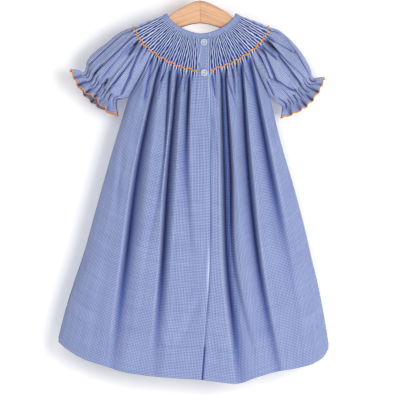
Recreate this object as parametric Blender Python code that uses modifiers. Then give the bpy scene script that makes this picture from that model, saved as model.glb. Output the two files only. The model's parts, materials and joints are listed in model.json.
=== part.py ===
"""A girl's smocked bishop dress on a two-piece wooden hanger, hanging with its buttoned back to the viewer.

Every size here is in millimetres, and METRES turns it into Blender's metres when a mesh is made.
The origin is the hook's seat, where a rail or a peg carries the hanger. +X is to the right of someone who
looks at the dress's back, +Z is up, and the dress's back faces -Y.
"""

import math

import bmesh
import bpy
import numpy as np
from mathutils import Vector

METRES = 0.001


def table(columns, rows):
    """A short table as a dictionary of arrays, one for each named column."""
    return dict(zip(columns.split(), np.array(rows, float).T))


# The cloth, and the gaps that neighbouring pieces keep.
WALL = 1.2
SEAM_INSET = 0.18
UNDERARM_INSET = 0.3
LAY_GAP = 0.3

# The smocked yoke is a ring round the neck, given at the neck and at the smocking's lower edge: its half-width,
# the drop of its lowest point below the shoulder line, the height of that line, its fullness in front of and
# behind the hanger, and the length of a quarter of it.
YOKE_CENTRE_X = 2.0
YOKE = table(
    "half_width drop_back drop_front shoulder_z depth arc_back arc_front",
    [
        (54.2, 32.0, 52.0, -76.8, 11.5, 66.0, 83.0),
        (108.2, 72.0, 90.0, -98.4, 22.0, 133.0, 153.0),
    ],
)
YOKE_POWER = {"back": 1.6, "front": 1.95}
YOKE_SLENDERNESS = {"back": 1.55, "front": 1.12}
FOLD_HALF_DEPTH = 8.8
FOLD_LENGTH = 7.0
BINDING_WIDTH = 8.0
BINDING_RAISED = 0.7
BINDING_THICK = 2.4
YOKE_LENGTH = 61.0
BINDING_SHARE = BINDING_WIDTH / YOKE_LENGTH

# The raglan seams leave the smocking's lower edge at this share of each half-ring's length.
RAGLAN_SHARE = 0.63
UNDERARM_ROW = 0.15

# Pleats: each one is a pair of columns, a valley and a ridge.
RIBS_BACK_LEFT = 19
RIBS_BACK_RIGHT = 16
RIBS_FRONT = 38
RIBS_HALF_SLEEVE = 11
STRIP_COLUMNS = 3
RIB_HEIGHT = 1.3
GATHER_HEIGHT = 2.2

# The back opening: its edge runs down the back, and a plain strip with the buttonholes lies beside it.
SEAM_TOP_X = 14.4
SEAM_HEM_X = 2.2
STRIP_WIDTH_YOKE = 16.5
STRIP_WIDTH_HEM = 26.0

# Outline of the skirt from the underarm to the hem's corners, at both sides.
SIDES = table(
    "row z left right",
    [
        (0.15, -211.7, -115.2, 112.8),
        (0.30, -280.3, -135.8, 129.5),
        (0.45, -348.9, -155.1, 149.8),
        (0.60, -417.5, -173.7, 168.1),
        (0.70, -463.3, -186.2, 178.8),
        (0.80, -509.0, -201.6, 189.6),
        (0.90, -554.8, -215.6, 198.7),
        (1.00, -600.5, -227.2, 206.4),
    ],
)
HEM = table(
    "x z",
    [
        (-227.2, -600.5),
        (-221.8, -605.5),
        (-207.0, -616.5),
        (-182.4, -629.3),
        (-151.5, -638.8),
        (-130.2, -646.5),
        (-92.8, -653.3),
        (-32.0, -658.9),
        (2.2, -661.0),
        (33.6, -665.0),
        (64.8, -666.3),
        (87.4, -658.0),
        (125.4, -647.6),
        (156.8, -642.2),
        (184.5, -633.6),
        (200.0, -622.0),
        (206.4, -610.8),
    ],
)
HEM_CORNER_Z = (-600.5, -610.8)
FRONT_HEM_LIFT = 5.0

# Half-depth of the hanging skirt, from the smocking's lower edge to the hem.
FULLNESS = table("row depth", [(0.0, 22.0), (0.15, 27.0), (0.4, 33.0), (0.7, 37.0), (1.0, 39.0)])
SIDE_ROUNDING = 3.6
COLUMN_CROWDING = 0.3

# The skirt's main folds. Each is a valley with its place, depth and half-width at four heights.
FOLD_HEIGHTS = np.array([-185.0, -320.0, -480.0, -660.0])
FOLD_COLUMNS = "x1 x2 x3 x4 depth1 depth2 depth3 depth4 width1 width2 width3 width4"
FOLDS_BACK = table(
    FOLD_COLUMNS,
    [
        (-78.4, -98.4, -117.0, -143.0, 5.0, 10.0, 8.0, 6.5, 4.0, 8.0, 10.0, 9.0),
        (-52.0, -53.0, -88.0, -110.0, 4.0, 4.0, 2.0, 1.0, 3.5, 5.0, 9.0, 9.0),
        (-37.6, -49.6, -59.2, -72.0, 7.0, 12.0, 10.0, 5.5, 4.0, 7.0, 8.5, 9.0),
        (-17.6, -22.4, -15.0, -12.0, 6.0, 7.0, 2.5, 1.5, 3.5, 5.5, 11.0, 13.0),
        (34.4, 36.8, 43.5, 64.0, 8.0, 13.0, 11.0, 7.5, 4.0, 7.0, 9.0, 8.5),
        (50.0, 53.0, 70.0, 95.0, 4.0, 3.0, 1.5, 1.0, 3.5, 6.0, 9.0, 9.0),
        (68.8, 76.8, 93.6, 126.0, 7.0, 11.0, 9.0, 6.5, 4.0, 7.0, 9.0, 9.0),
        (86.4, 105.6, 140.0, 166.0, 6.0, 7.0, 4.5, 3.0, 4.0, 8.0, 11.0, 11.0),
    ],
)
FOLDS_FRONT = table(
    FOLD_COLUMNS,
    [
        (-82.0, -104.0, -134.0, -158.0, 6.0, 8.0, 6.0, 5.0, 4.0, 8.0, 11.0, 10.0),
        (-60.0, -74.0, -88.0, -106.0, 6.0, 11.0, 9.0, 6.0, 4.0, 7.0, 9.0, 9.0),
        (-34.0, -40.0, -46.0, -58.0, 7.0, 10.0, 9.0, 6.5, 4.0, 7.0, 9.0, 9.0),
        (-8.0, -10.0, -4.0, -2.0, 5.0, 8.0, 6.0, 3.0, 4.0, 6.5, 10.0, 12.0),
        (22.0, 26.0, 38.0, 50.0, 7.0, 12.0, 9.0, 7.0, 4.0, 7.0, 9.0, 9.0),
        (50.0, 60.0, 78.0, 100.0, 6.0, 9.0, 8.0, 6.0, 4.0, 7.0, 9.0, 9.0),
        (80.0, 98.0, 122.0, 150.0, 6.0, 10.0, 7.0, 5.0, 4.0, 8.0, 10.0, 10.0),
    ],
)
LEAST_DEPTH = 9.0

# Each sleeve, seen from the back: its outline over the shoulder, and the line under the arm.
SLEEVE_OVER_LEFT = table(
    "row x z",
    [
        (0.00, -106.2, -98.4),
        (0.16, -118.4, -101.9),
        (0.34, -132.8, -109.3),
        (0.54, -147.5, -121.6),
        (0.74, -165.0, -134.8),
        (0.88, -176.9, -146.2),
        (0.96, -183.0, -157.2),
        (1.00, -185.9, -165.6),
        (1.12, -194.5, -165.4),
        (1.30, -207.2, -163.6),
    ],
)
SLEEVE_UNDER_LEFT = table(
    "row x z",
    [
        (0.80, -115.2, -211.7),
        (0.90, -123.5, -214.2),
        (1.00, -131.2, -215.6),
        (1.12, -132.2, -227.0),
        (1.30, -130.2, -240.3),
    ],
)
SLEEVE_OVER_RIGHT = table(
    "row x z",
    [
        (0.00, 110.2, -98.4),
        (0.18, 124.8, -102.6),
        (0.34, 136.0, -110.9),
        (0.56, 153.1, -127.6),
        (0.78, 168.9, -149.5),
        (0.90, 175.8, -162.8),
        (1.00, 180.8, -176.5),
        (1.12, 188.0, -177.4),
        (1.30, 199.4, -176.5),
    ],
)
SLEEVE_UNDER_RIGHT = table(
    "row x z",
    [
        (0.80, 112.8, -211.7),
        (0.90, 120.5, -218.6),
        (1.00, 129.6, -224.1),
        (1.12, 130.2, -233.0),
        (1.30, 128.4, -243.4),
    ],
)
SLEEVE_UNDERARM_ROW = 0.8
PUFF = table(
    "row depth bulge",
    [
        (0.0, 0.0, 0.0),
        (0.2, 10.0, 0.0),
        (0.5, 21.0, 0.0),
        (0.8, 25.0, 3.0),
        (0.93, 21.0, 6.0),
        (1.0, 14.0, 4.0),
        (1.1, 16.0, 7.0),
        (1.3, 21.0, 15.0),
    ],
)
ELASTIC_GATHER = 2.0
RUFFLE_WAVE = 5.0
SLEEVE_FOLD_DEPTH = 3.0

# Rows of points: along the yoke, down the raglan seams, down the skirt, and down the sleeves.
YOKE_ROWS = np.array([BINDING_SHARE + 0.005, 0.57, 1.0])
RAGLAN_ROWS = np.array([0.25, 0.5, 0.75, 1.0])
SKIRT_ROWS = np.array([0.22, 0.31, 0.42, 0.54, 0.67, 0.79, 0.9, 1.0])
SLEEVE_ROWS = np.array([0.88, 0.95, 1.0, 1.06, 1.17, 1.3])

# The hanger: two flat arms that meet under the hook, and a wire hook.
ARM_PEAK_Z = -56.0
ARM_HALF_THICK = 6.0
ARM_ROUNDING = 5.2
ARM_JOINT_GAP = 0.15
ARM_TOP = table(
    "x z",
    [(6.0, -56.6), (16.0, -60.0), (34.0, -69.4), (45.0, -76.4), (51.0, -81.8), (58.0, -84.3),
     (66.0, -86.4), (104.0, -101.6), (122.0, -109.2)],
)
ARM_BOTTOM = table(
    "x z",
    [(0.0, -92.3), (12.0, -93.8), (29.0, -98.6), (60.0, -109.0), (95.0, -119.0), (120.0, -124.0)],
)
ARM_TIP_X = 128.0
ARM_TIP_Z = -116.4
HOOK_WIRE_RADIUS = 1.7
HOOK_INNER_RADIUS = 17.0

BUTTON_RADIUS = 5.5
BUTTON_THICK = 2.2
BUTTON_HOLE_RADIUS = 0.75
BUTTON_HOLE_OFFSET = 1.35
BUTTON_SECTION = table(
    "radius height",
    [(0.0, 0.66), (0.62, 0.7), (0.74, 0.95), (0.9, 1.0), (1.0, 0.72), (1.0, 0.35), (0.86, 0.0), (0.0, 0.0)],
)
BUTTONS = table("x z", [(6.2, -123.0), (6.4, -172.4)])

# The buttonhole strip: where it starts, in rows of the back's points, and how far below the smocking each of
# its edges ends.
PLACKET_THICK = 1.0
PLACKET_TOP = 0.04
PLACKET_ENDS = {"inner": 0.1, "edge": 0.6}

COLOURS = {
    "gingham": (0.42, 0.48, 0.72),
    "binding": (0.45, 0.51, 0.75),
    "wood": (0.82, 0.56, 0.33),
    "steel": (0.72, 0.72, 0.74),
    "button": (0.86, 0.87, 0.88),
}


def mix(a, b, share):
    return a + (b - a) * share


def smooth(t):
    """0 below 0, 1 above 1, and a soft step between."""
    t = np.clip(t, 0.0, 1.0)
    return t * t * (3.0 - 2.0 * t)


def through(xs, ys, at):
    """The smooth curve through a table's points: cubic pieces whose slopes come from their neighbours."""
    slope = np.gradient(ys, xs)
    i = np.clip(np.searchsorted(xs, at) - 1, 0, len(xs) - 2)
    step = xs[i + 1] - xs[i]
    t = np.clip((at - xs[i]) / step, 0.0, 1.0)
    rise = ys[i] * (1 + 2 * t) * (1 - t) ** 2 + ys[i + 1] * t * t * (3 - 2 * t)
    bend = slope[i] * t * (1 - t) ** 2 - slope[i + 1] * t * t * (1 - t)
    return rise + step * bend


def unit(v):
    return v / np.maximum(np.linalg.norm(v, axis=-1, keepdims=True), 1e-9)


def even_angles(face):
    """Angles of the yoke's quarter curve against the share of its length, so that pleats are evenly spaced."""
    angle = np.linspace(math.pi / 2, 0.0, 400)
    x = YOKE_SLENDERNESS[face] * np.cos(angle) ** (2 / YOKE_POWER[face])
    z = np.sin(angle) ** (2 / YOKE_POWER[face])
    length = np.concatenate([[0.0], np.cumsum(np.hypot(np.diff(x), np.diff(z)))])
    return length / length[-1], angle


EVEN_ANGLES = {face: even_angles(face) for face in ("back", "front")}


def ring(level, across, face):
    """A point of the yoke's ring: level 0 at the neck and 1 at the smocking's lower edge, across -1 at the
    left shoulder fold, 0 at the middle and 1 at the right one. Returns x, z and the depth from the hanger."""
    level, across = np.broadcast_arrays(level, across)
    half = mix(*YOKE["half_width"], level)
    drop = mix(*YOKE["drop_" + face], level)
    top = mix(*YOKE["shoulder_z"], level)
    angle = np.interp(np.abs(across), *EVEN_ANGLES[face])
    power = 2 / YOKE_POWER[face]
    x = YOKE_CENTRE_X + np.sign(across) * half * np.cos(angle) ** power
    z = top - drop * np.clip(np.sin(angle), 0, 1) ** power
    from_fold = (1 - np.abs(across)) * mix(*YOKE["arc_" + face], level)
    over_arm = np.sqrt(1 - (1 - np.clip(from_fold / FOLD_LENGTH, 0, 1)) ** 2)
    full = mix(*YOKE["depth"], level) - FOLD_HALF_DEPTH
    return x, z, FOLD_HALF_DEPTH * over_arm + full * smooth(1.4 * (1 - np.abs(across)))


def raglan(down, side, face):
    """A raglan seam, from the smocking's lower edge (down 0) to the underarm (down 1)."""
    x0, z0, depth0 = ring(1.0, RAGLAN_SHARE * side, face)
    x1 = SIDES["left" if side < 0 else "right"][0]
    bow = 4.0 * down * (1 - down)
    x = mix(x0, x1, down) - 2.0 * side * bow
    return x, mix(z0, SIDES["z"][0], down), depth0 * (1 - smooth(down))


def side_edge(row, side, face):
    """The skirt panels' side edge in the plane of the view: the raglan seam, then the side seam."""
    seam_x, seam_z, _ = raglan(np.clip(row / UNDERARM_ROW, 0, 1), side, face)
    column = "left" if side < 0 else "right"
    side_x = through(SIDES["row"], SIDES[column], row)
    corner = HEM_CORNER_Z[0 if side < 0 else 1]
    side_z = mix(SIDES["z"][0], corner, (row - UNDERARM_ROW) / (1 - UNDERARM_ROW))
    below = row > UNDERARM_ROW
    return np.where(below, side_x, seam_x), np.where(below, side_z, seam_z)


def fold_depth(x, z, folds):
    """How far the main folds press the cloth in at a place: the sum of soft valleys that run down the skirt."""
    total = np.zeros_like(x)
    for k in range(len(folds["x1"])):
        place, depth, width = (
            through(FOLD_HEIGHTS[::-1], np.array([folds[f"{what}{n}"][k] for n in (4, 3, 2, 1)]), z)
            for what in ("x", "depth", "width")
        )
        total += depth * np.exp(-(((x - place) / width) ** 2))
    return total


def skirt(row, across, face):
    """A point of the skirt: row 0 at the smocking's lower edge and 1 at the hem, across -1 to 1 between the
    side edges. It fills the outline between its four edges, then takes its depth and its folds."""
    row, across = np.broadcast_arrays(row, across)
    settled = smooth(row / UNDERARM_ROW)
    spread = across + COLUMN_CROWDING * settled * (np.sin(across * math.pi / 2) - across)
    top_x, top_z, top_depth = ring(1.0, spread * RAGLAN_SHARE, face)
    hem_left, hem_right = HEM["x"][0], HEM["x"][-1]
    hem_x = mix(hem_left, hem_right, (spread + 1) / 2)
    hem_z = through(HEM["x"], HEM["z"], hem_x)
    x = mix(top_x, hem_x, row)
    z = mix(top_z, hem_z, row)
    for side in (-1, 1):
        weight = (1 + side * spread) / 2
        edge_x, edge_z = side_edge(row, side, face)
        end_x, end_z, _ = ring(1.0, side * RAGLAN_SHARE, face)
        corner_x = hem_left if side < 0 else hem_right
        corner_z = HEM_CORNER_Z[0 if side < 0 else 1]
        x = x + weight * (edge_x - mix(end_x, corner_x, row))
        z = z + weight * (edge_z - mix(end_z, corner_z, row))
    left_x, _ = side_edge(row, -1, face)
    right_x, _ = side_edge(row, 1, face)
    to_side = np.clip(np.abs(2 * x - left_x - right_x) / (right_x - left_x), 0, 1)
    rounded = np.sqrt(1 - to_side**SIDE_ROUNDING)
    hanging = through(FULLNESS["row"], FULLNESS["depth"], row) * rounded
    depth = mix(top_depth, hanging, settled)
    folds = FOLDS_BACK if face == "back" else FOLDS_FRONT
    pressed = fold_depth(x, z, folds) * smooth(row / 0.06) * smooth((depth - 4) / 14)
    room = np.maximum(depth - LEAST_DEPTH, 0)
    pressed = room * np.tanh(pressed / np.maximum(room, 1e-6))
    if face == "front":
        z = z + FRONT_HEM_LIFT * smooth(row)
    return x, z, depth - pressed


def pack(x, z, depth, face):
    """Points in space from x, z and the depth towards the back or the front."""
    x, z, depth = np.broadcast_arrays(x, z, depth)
    return np.stack([x, depth if face == "front" else -depth, z], axis=-1)


def opening_edge(rows, in_yoke):
    """Where the back opening's edge lies across the back, and how wide the plain strip beside it is."""
    if in_yoke:
        arc = mix(*YOKE["arc_back"], rows)
        edge = (SEAM_TOP_X - YOKE_CENTRE_X) / arc / RAGLAN_SHARE
        return edge, STRIP_WIDTH_YOKE / arc / RAGLAN_SHARE
    top = (SEAM_TOP_X - YOKE_CENTRE_X) / YOKE["arc_back"][1] / RAGLAN_SHARE
    hem_half = (HEM["x"][-1] - HEM["x"][0]) / 2
    hem = (SEAM_HEM_X - (HEM["x"][-1] + HEM["x"][0]) / 2) / hem_half / (1 + COLUMN_CROWDING * 0.5)
    strip_top = STRIP_WIDTH_YOKE / YOKE["arc_back"][1] / RAGLAN_SHARE
    return mix(top, hem, rows), mix(strip_top, STRIP_WIDTH_HEM / hem_half, rows)


def rib_phase(columns, start=0):
    """Pleats counted across a panel, two columns to each, after the plain strip's columns."""
    return np.maximum(np.arange(columns + 1) - start, 0) / 2


def relief(phase, yoke_rows, lower_rows):
    """Height of the smocking's pleats, and of the gathers that they open into below it."""
    rib = 0.5 - 0.5 * np.cos(2 * math.pi * phase)
    gather = 0.5 - 0.5 * np.cos(math.pi * phase)
    gather[-1] = 0.0
    pleats = RIB_HEIGHT * np.ones(len(yoke_rows))
    fading = RIB_HEIGHT * (1 - smooth(lower_rows / 0.08))
    rib_rows = np.concatenate([pleats, fading])
    rise = smooth(lower_rows / 0.04) * (1 - smooth((lower_rows - 0.06) / 0.22))
    gather_rows = np.concatenate([np.zeros(len(yoke_rows)), GATHER_HEIGHT * rise])
    return rib_rows[:, None] * rib, gather_rows[:, None] * gather


def body_panel(face, side, ribs):
    """One cut panel from the neck to the hem: side -1 or 1 for the two backs, 0 for the front.
    Returns its points, the pleats' height over them, and the gathers' depth."""
    lower_rows = np.concatenate([RAGLAN_ROWS * UNDERARM_ROW, SKIRT_ROWS])
    strip = STRIP_COLUMNS if side < 0 else 0
    columns = strip + 2 * ribs
    rows = []
    for values, in_yoke in ((YOKE_ROWS, True), (lower_rows, False)):
        for value in values:
            if face == "front":
                across = np.linspace(-1, 1, columns + 1)
            else:
                edge, width = opening_edge(value, in_yoke)
                plain = edge + side * width * (strip > 0)
                across = np.concatenate(
                    [np.linspace(edge, plain, strip + 1)[:strip], np.linspace(plain, side, 2 * ribs + 1)]
                )
            if in_yoke:
                rows.append(pack(*ring(value, across * RAGLAN_SHARE, face), face))
            else:
                rows.append(pack(*skirt(value, across, face), face))
    pleats, gathers = relief(rib_phase(columns, strip), YOKE_ROWS, lower_rows)
    return np.array(rows), pleats, gathers


def sleeve_panel(side):
    """One raglan sleeve from the neck to the ruffle, from its back seam over the shoulder to its front seam."""
    half = 2 * RIBS_HALF_SLEEVE
    share = np.linspace(0, 1, half + 1)
    across = side * mix(RAGLAN_SHARE, 1.0, share)
    over = SLEEVE_OVER_LEFT if side < 0 else SLEEVE_OVER_RIGHT
    under = SLEEVE_UNDER_LEFT if side < 0 else SLEEVE_UNDER_RIGHT
    lower = np.concatenate([RAGLAN_ROWS * SLEEVE_UNDERARM_ROW, SLEEVE_ROWS])
    halves = []
    for face in ("back", "front"):
        rows = [pack(*ring(level, across, face), face) for level in YOKE_ROWS]
        line_x, line_z, line_depth = ring(1.0, across, face)
        falling = line_depth / line_depth[0]
        for row in lower:
            top = np.array([through(over["row"], over[axis], row) for axis in ("x", "z")])
            seam_x, seam_z, seam_depth = raglan(min(row / SLEEVE_UNDERARM_ROW, 1.0), side, face)
            if row > SLEEVE_UNDERARM_ROW:
                seam_x, seam_z = (through(under["row"], under[axis], row) for axis in ("x", "z"))
            start = np.array([seam_x, seam_z])
            chord_x = mix(line_x[0], line_x[-1], share)
            chord_z = mix(line_z[0], line_z[-1], share)
            keep = 1 - smooth(row / 0.7)
            outward = np.array([top[1] - start[1], start[0] - top[0]])
            outward = side * outward / np.linalg.norm(outward)
            bulge = through(PUFF["row"], PUFF["bulge"], row) * 4 * share * (1 - share)
            x = mix(start[0], top[0], share) + keep * (line_x - chord_x) + bulge * outward[0]
            z = mix(start[1], top[1], share) + keep * (line_z - chord_z) + bulge * outward[1]
            power = mix(1.0, 0.5, smooth(row / SLEEVE_UNDERARM_ROW))
            puffed = through(PUFF["row"], PUFF["depth"], row) * (4 * share * (1 - share)) ** power
            soft = SLEEVE_FOLD_DEPTH * np.cos(2 * math.pi * 3 * share) * np.sin(math.pi * share)
            puffed = puffed + soft * smooth(row / 0.3) * (1 - smooth((row - 0.85) / 0.15))
            rows.append(pack(x, z, seam_depth * falling + puffed, face))
        halves.append(np.array(rows))
    points = np.concatenate([halves[0], halves[1][:, -2::-1]], axis=1)
    phase = np.concatenate([np.arange(half + 1), np.arange(half - 1, -1, -1)]) / 2
    rib = 0.5 - 0.5 * np.cos(2 * math.pi * phase)
    wave = 0.5 - 0.5 * np.cos(math.pi * phase)
    pleat_rows = np.concatenate([np.ones(len(YOKE_ROWS)), 1 - smooth(lower / 0.3)]) * RIB_HEIGHT
    gather = smooth((lower - 0.86) / 0.12) * (1 - smooth((lower - 1.04) / 0.15)) * ELASTIC_GATHER
    ruffle = smooth((lower - 1.0) / 0.2) * RUFFLE_WAVE
    none = np.zeros(len(YOKE_ROWS))
    gather_rows = np.concatenate([none, gather])[:, None] * rib
    ruffle_rows = np.concatenate([none, ruffle])[:, None] * (wave - 0.5)
    edges = np.ones(len(phase))
    edges[[0, -1]] = 0.0
    return points, pleat_rows[:, None] * rib, (gather_rows + ruffle_rows) * edges


def normals_of(points, outwards):
    """Unit normals of a grid, turned so that a chosen column's normals point along outwards."""
    down = np.gradient(points, axis=0)
    along = np.gradient(points, axis=1)
    normal = unit(np.cross(along, down))
    column, direction = outwards
    if (normal[:, column] @ np.array(direction)).sum() < 0:
        normal = -normal
    return normal


def share_normals(panels):
    """Gives pieces that meet at a seam the same normals there, so that their walls end face to face."""
    yoke = len(YOKE_ROWS)
    raglan_rows = slice(0, yoke + len(RAGLAN_ROWS))
    below = slice(yoke + len(RAGLAN_ROWS) - 1, None)
    seams = [
        ("back_left", 0, "back_right", 0, slice(None)),
        ("back_left", -1, "sleeve_left", 0, raglan_rows),
        ("front", 0, "sleeve_left", -1, raglan_rows),
        ("back_right", -1, "sleeve_right", 0, raglan_rows),
        ("front", -1, "sleeve_right", -1, raglan_rows),
        ("back_left", -1, "front", 0, below),
        ("back_right", -1, "front", -1, below),
        ("sleeve_left", 0, "sleeve_left", -1, below),
        ("sleeve_right", 0, "sleeve_right", -1, below),
    ]
    for first, column, second, other, rows in seams:
        a = panels[first]["normals"][rows, column]
        b = panels[second]["normals"][rows, other]
        shared = unit(a + b)
        panels[first]["normals"][rows, column] = shared
        panels[second]["normals"][rows, other] = shared
    underarm = yoke + len(RAGLAN_ROWS) - 1
    for back, front_column, sleeve in (("back_left", 0, "sleeve_left"), ("back_right", -1, "sleeve_right")):
        corners = [(back, -1), ("front", front_column), (sleeve, 0), (sleeve, -1)]
        meeting = unit(sum(panels[name]["normals"][underarm, column] for name, column in corners))
        for name, column in corners:
            panels[name]["normals"][underarm, column] = meeting


def inset_edges(points):
    """Moves a grid's edge columns in by half the gap that its seams keep, which widens under the arm."""
    under_arm = len(YOKE_ROWS) + len(RAGLAN_ROWS) - 1
    rows = np.arange(len(points))
    inset = SEAM_INSET + UNDERARM_INSET * smooth(1 - np.abs(rows - under_arm) / 2)
    for edge, inner in ((0, 1), (-1, -2)):
        points[:, edge] += inset[:, None] * unit(points[:, inner] - points[:, edge])
    return points


def material(slot, metallic=0.0, roughness=0.8):
    made = bpy.data.materials.get(slot) or bpy.data.materials.new(slot)
    made.use_nodes = True
    shader = made.node_tree.nodes["Principled BSDF"]
    shader.inputs["Base Color"].default_value = (*COLOURS[slot], 1.0)
    shader.inputs["Roughness"].default_value = roughness
    shader.inputs["Metallic"].default_value = metallic
    return made


def add_object(name, data, finish, collection):
    made = bpy.data.objects.new(name, data)
    data.materials.append(finish)
    collection.objects.link(made)
    return made


def wall(name, outer, inner, finish, collection):
    """A closed wall between an outer and an inner grid of points, with its four rims."""
    rows, columns = outer.shape[:2]
    count = rows * columns
    points = np.concatenate([outer.reshape(-1, 3), inner.reshape(-1, 3)]) * METRES
    index = np.arange(count).reshape(rows, columns)
    a, b, c, d = index[:-1, :-1], index[:-1, 1:], index[1:, 1:], index[1:, :-1]
    skin = np.stack([a, b, c, d], axis=-1).reshape(-1, 4)
    loop = np.concatenate([index[0, :-1], index[:-1, -1], index[-1, :0:-1], index[:0:-1, 0]])
    after = np.roll(loop, -1)
    rim = np.stack([after, loop, loop + count, after + count], axis=-1)
    faces = np.concatenate([skin, skin[:, ::-1] + count, rim])
    mesh = bpy.data.meshes.new(name)
    mesh.from_pydata(points.tolist(), [], faces.tolist())
    shell = bmesh.new()
    shell.from_mesh(mesh)
    bmesh.ops.recalc_face_normals(shell, faces=shell.faces)
    bmesh.ops.triangulate(shell, faces=shell.faces)
    shell.to_mesh(mesh)
    shell.free()
    mesh.shade_smooth()
    mesh.set_sharp_from_angle(angle=math.radians(50))
    return add_object(name, mesh, finish, collection)


def make_cloth(collection):
    """The five cut pieces, each a wall from the neck binding to the hem or the ruffle."""
    panels = {}
    backs = {"back_left": (-1, RIBS_BACK_LEFT), "back_right": (1, RIBS_BACK_RIGHT)}
    for name, (side, ribs) in backs.items():
        points, pleats, gathers = body_panel("back", side, ribs)
        panels[name] = {"points": points, "pleats": pleats, "gathers": gathers, "out": (12, (0, -1, 0))}
    points, pleats, gathers = body_panel("front", 0, RIBS_FRONT)
    panels["front"] = {"points": points, "pleats": pleats, "gathers": gathers, "out": (12, (0, 1, 0))}
    for name, side in (("sleeve_left", -1), ("sleeve_right", 1)):
        points, pleats, gathers = sleeve_panel(side)
        panels[name] = {"points": points, "pleats": pleats, "gathers": gathers, "out": (10, (0, -1, 0))}
    for panel in panels.values():
        panel["normals"] = normals_of(panel["points"], panel["out"])
    for panel in panels.values():
        panel["points"] = panel["points"] + panel["gathers"][..., None] * panel["normals"]
        panel["normals"] = normals_of(panel["points"], panel["out"])
    share_normals(panels)
    cloth = material("gingham")
    for name, panel in panels.items():
        base = inset_edges(panel["points"])
        outer = base + panel["pleats"][..., None] * panel["normals"]
        wall(name, outer, base - WALL * panel["normals"], cloth, collection)
    return panels


def make_binding(collection):
    """The bias binding round the neck: one band from the opening's edge round to its other side."""
    levels = np.array([0.0, 0.5, 1.0]) * BINDING_SHARE
    rows = []
    for level in levels:
        edge = opening_edge(level, True)[0] * RAGLAN_SHARE
        back = np.linspace(edge, -RAGLAN_SHARE, 11)[:-1]
        over = np.linspace(-RAGLAN_SHARE, -1, 10)
        left = pack(*ring(level, np.concatenate([back, over]), "back"), "back")
        front = np.concatenate(
            [np.linspace(-1, -RAGLAN_SHARE, 10)[1:-1], np.linspace(-RAGLAN_SHARE, RAGLAN_SHARE, 19),
             np.linspace(RAGLAN_SHARE, 1, 10)[1:]]
        )
        middle = pack(*ring(level, front, "front"), "front")
        end = edge + 2 * SEAM_INSET / mix(*YOKE["arc_back"], level)
        right = np.concatenate([np.linspace(1, RAGLAN_SHARE, 10)[1:-1], np.linspace(RAGLAN_SHARE, end, 9)])
        rest = pack(*ring(level, right, "back"), "back")
        rows.append(np.concatenate([left, middle, rest]))
    points = np.array(rows)
    normals = normals_of(points, (4, (0, -1, 0)))
    outer = points + BINDING_RAISED * normals
    inner = outer - BINDING_THICK * normals
    return wall("neck_binding", outer, inner, material("binding"), collection)


def make_placket(panels, collection):
    """The buttonhole strip, made from the left back's own points and moved out over them."""
    panel = panels["back_left"]
    columns = np.arange(STRIP_COLUMNS + 1)
    ends = 2 + mix(PLACKET_ENDS["edge"], PLACKET_ENDS["inner"], np.maximum(2 * columns / STRIP_COLUMNS - 1, 0))
    places = np.stack([np.full(len(columns), row) for row in (PLACKET_TOP, 1.0, 2.0)] + [ends])
    above = np.minimum(places.astype(int), 2)
    below = (places - above)[..., None]
    points = mix(panel["points"][above, columns], panel["points"][above + 1, columns], below)
    facing = unit(mix(panel["normals"][above, columns], panel["normals"][above + 1, columns], below))
    inner = points + LAY_GAP * facing
    outer = points + (LAY_GAP + PLACKET_THICK) * facing
    wall("placket", outer, inner, material("gingham"), collection)
    return points, facing


def make_buttons(points, facing, collection):
    """Two four-hole buttons, each lying on the strip and tilted as the strip is."""
    flat_points = points.reshape(-1, 3)
    flat_facing = facing.reshape(-1, 3)
    for number, (x, z) in enumerate(zip(BUTTONS["x"], BUTTONS["z"]), start=1):
        near = np.argsort(np.hypot(flat_points[:, 0] - x, flat_points[:, 2] - z))[:4]
        way = unit(flat_facing[near].mean(axis=0))
        centre = flat_points[near].mean(axis=0)
        y = centre[1] - (way[0] * (x - centre[0]) + way[2] * (z - centre[2])) / way[1]
        seat = np.array([x, y, z]) + way * (2 * LAY_GAP + PLACKET_THICK)
        button = turned_button(f"button_{number}", collection)
        button.rotation_euler = Vector(way).to_track_quat("Z", "Y").to_euler()
        button.location = seat * METRES
        cut_holes(button)


def turned_button(name, collection):
    """A round button with a raised rim, turned from half of its section, which runs from the top down."""
    section = BUTTON_SECTION["radius"] * BUTTON_RADIUS, BUTTON_SECTION["height"] * BUTTON_THICK
    corners = [(r * METRES, 0.0, h * METRES) for r, h in zip(*section)]
    mesh = bpy.data.meshes.new(name)
    mesh.from_pydata(corners, [(i, i + 1) for i in range(len(corners) - 1)], [])
    button = add_object(name, mesh, material("button", roughness=0.25), collection)
    turn = button.modifiers.new("turn", "SCREW")
    turn.axis = "Z"
    turn.steps = 20
    turn.render_steps = 20
    turn.use_merge_vertices = True
    turn.merge_threshold = 1e-5
    turn.use_smooth_shade = True
    return button


def cut_holes(button):
    """Four sewing holes through a button, cut by one cutter."""
    drill = bmesh.new()
    for across in (-1, 1):
        for along in (-1, 1):
            made = bmesh.ops.create_cone(
                drill,
                cap_ends=True,
                segments=8,
                radius1=BUTTON_HOLE_RADIUS * METRES,
                radius2=BUTTON_HOLE_RADIUS * METRES,
                depth=3 * BUTTON_THICK * METRES,
            )
            place = (across * BUTTON_HOLE_OFFSET * METRES, along * BUTTON_HOLE_OFFSET * METRES, 0)
            bmesh.ops.translate(drill, verts=made["verts"], vec=place)
    mesh = bpy.data.meshes.new(button.name + "_drill")
    drill.to_mesh(mesh)
    drill.free()
    cutter = bpy.data.objects.new(mesh.name, mesh)
    cutter.rotation_euler = button.rotation_euler
    cutter.location = button.location
    cutter.hide_render = True
    cutter.display_type = "WIRE"
    collection_named("cutters").objects.link(cutter)
    cut = button.modifiers.new("holes", "BOOLEAN")
    cut.operation = "DIFFERENCE"
    cut.object = cutter


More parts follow.
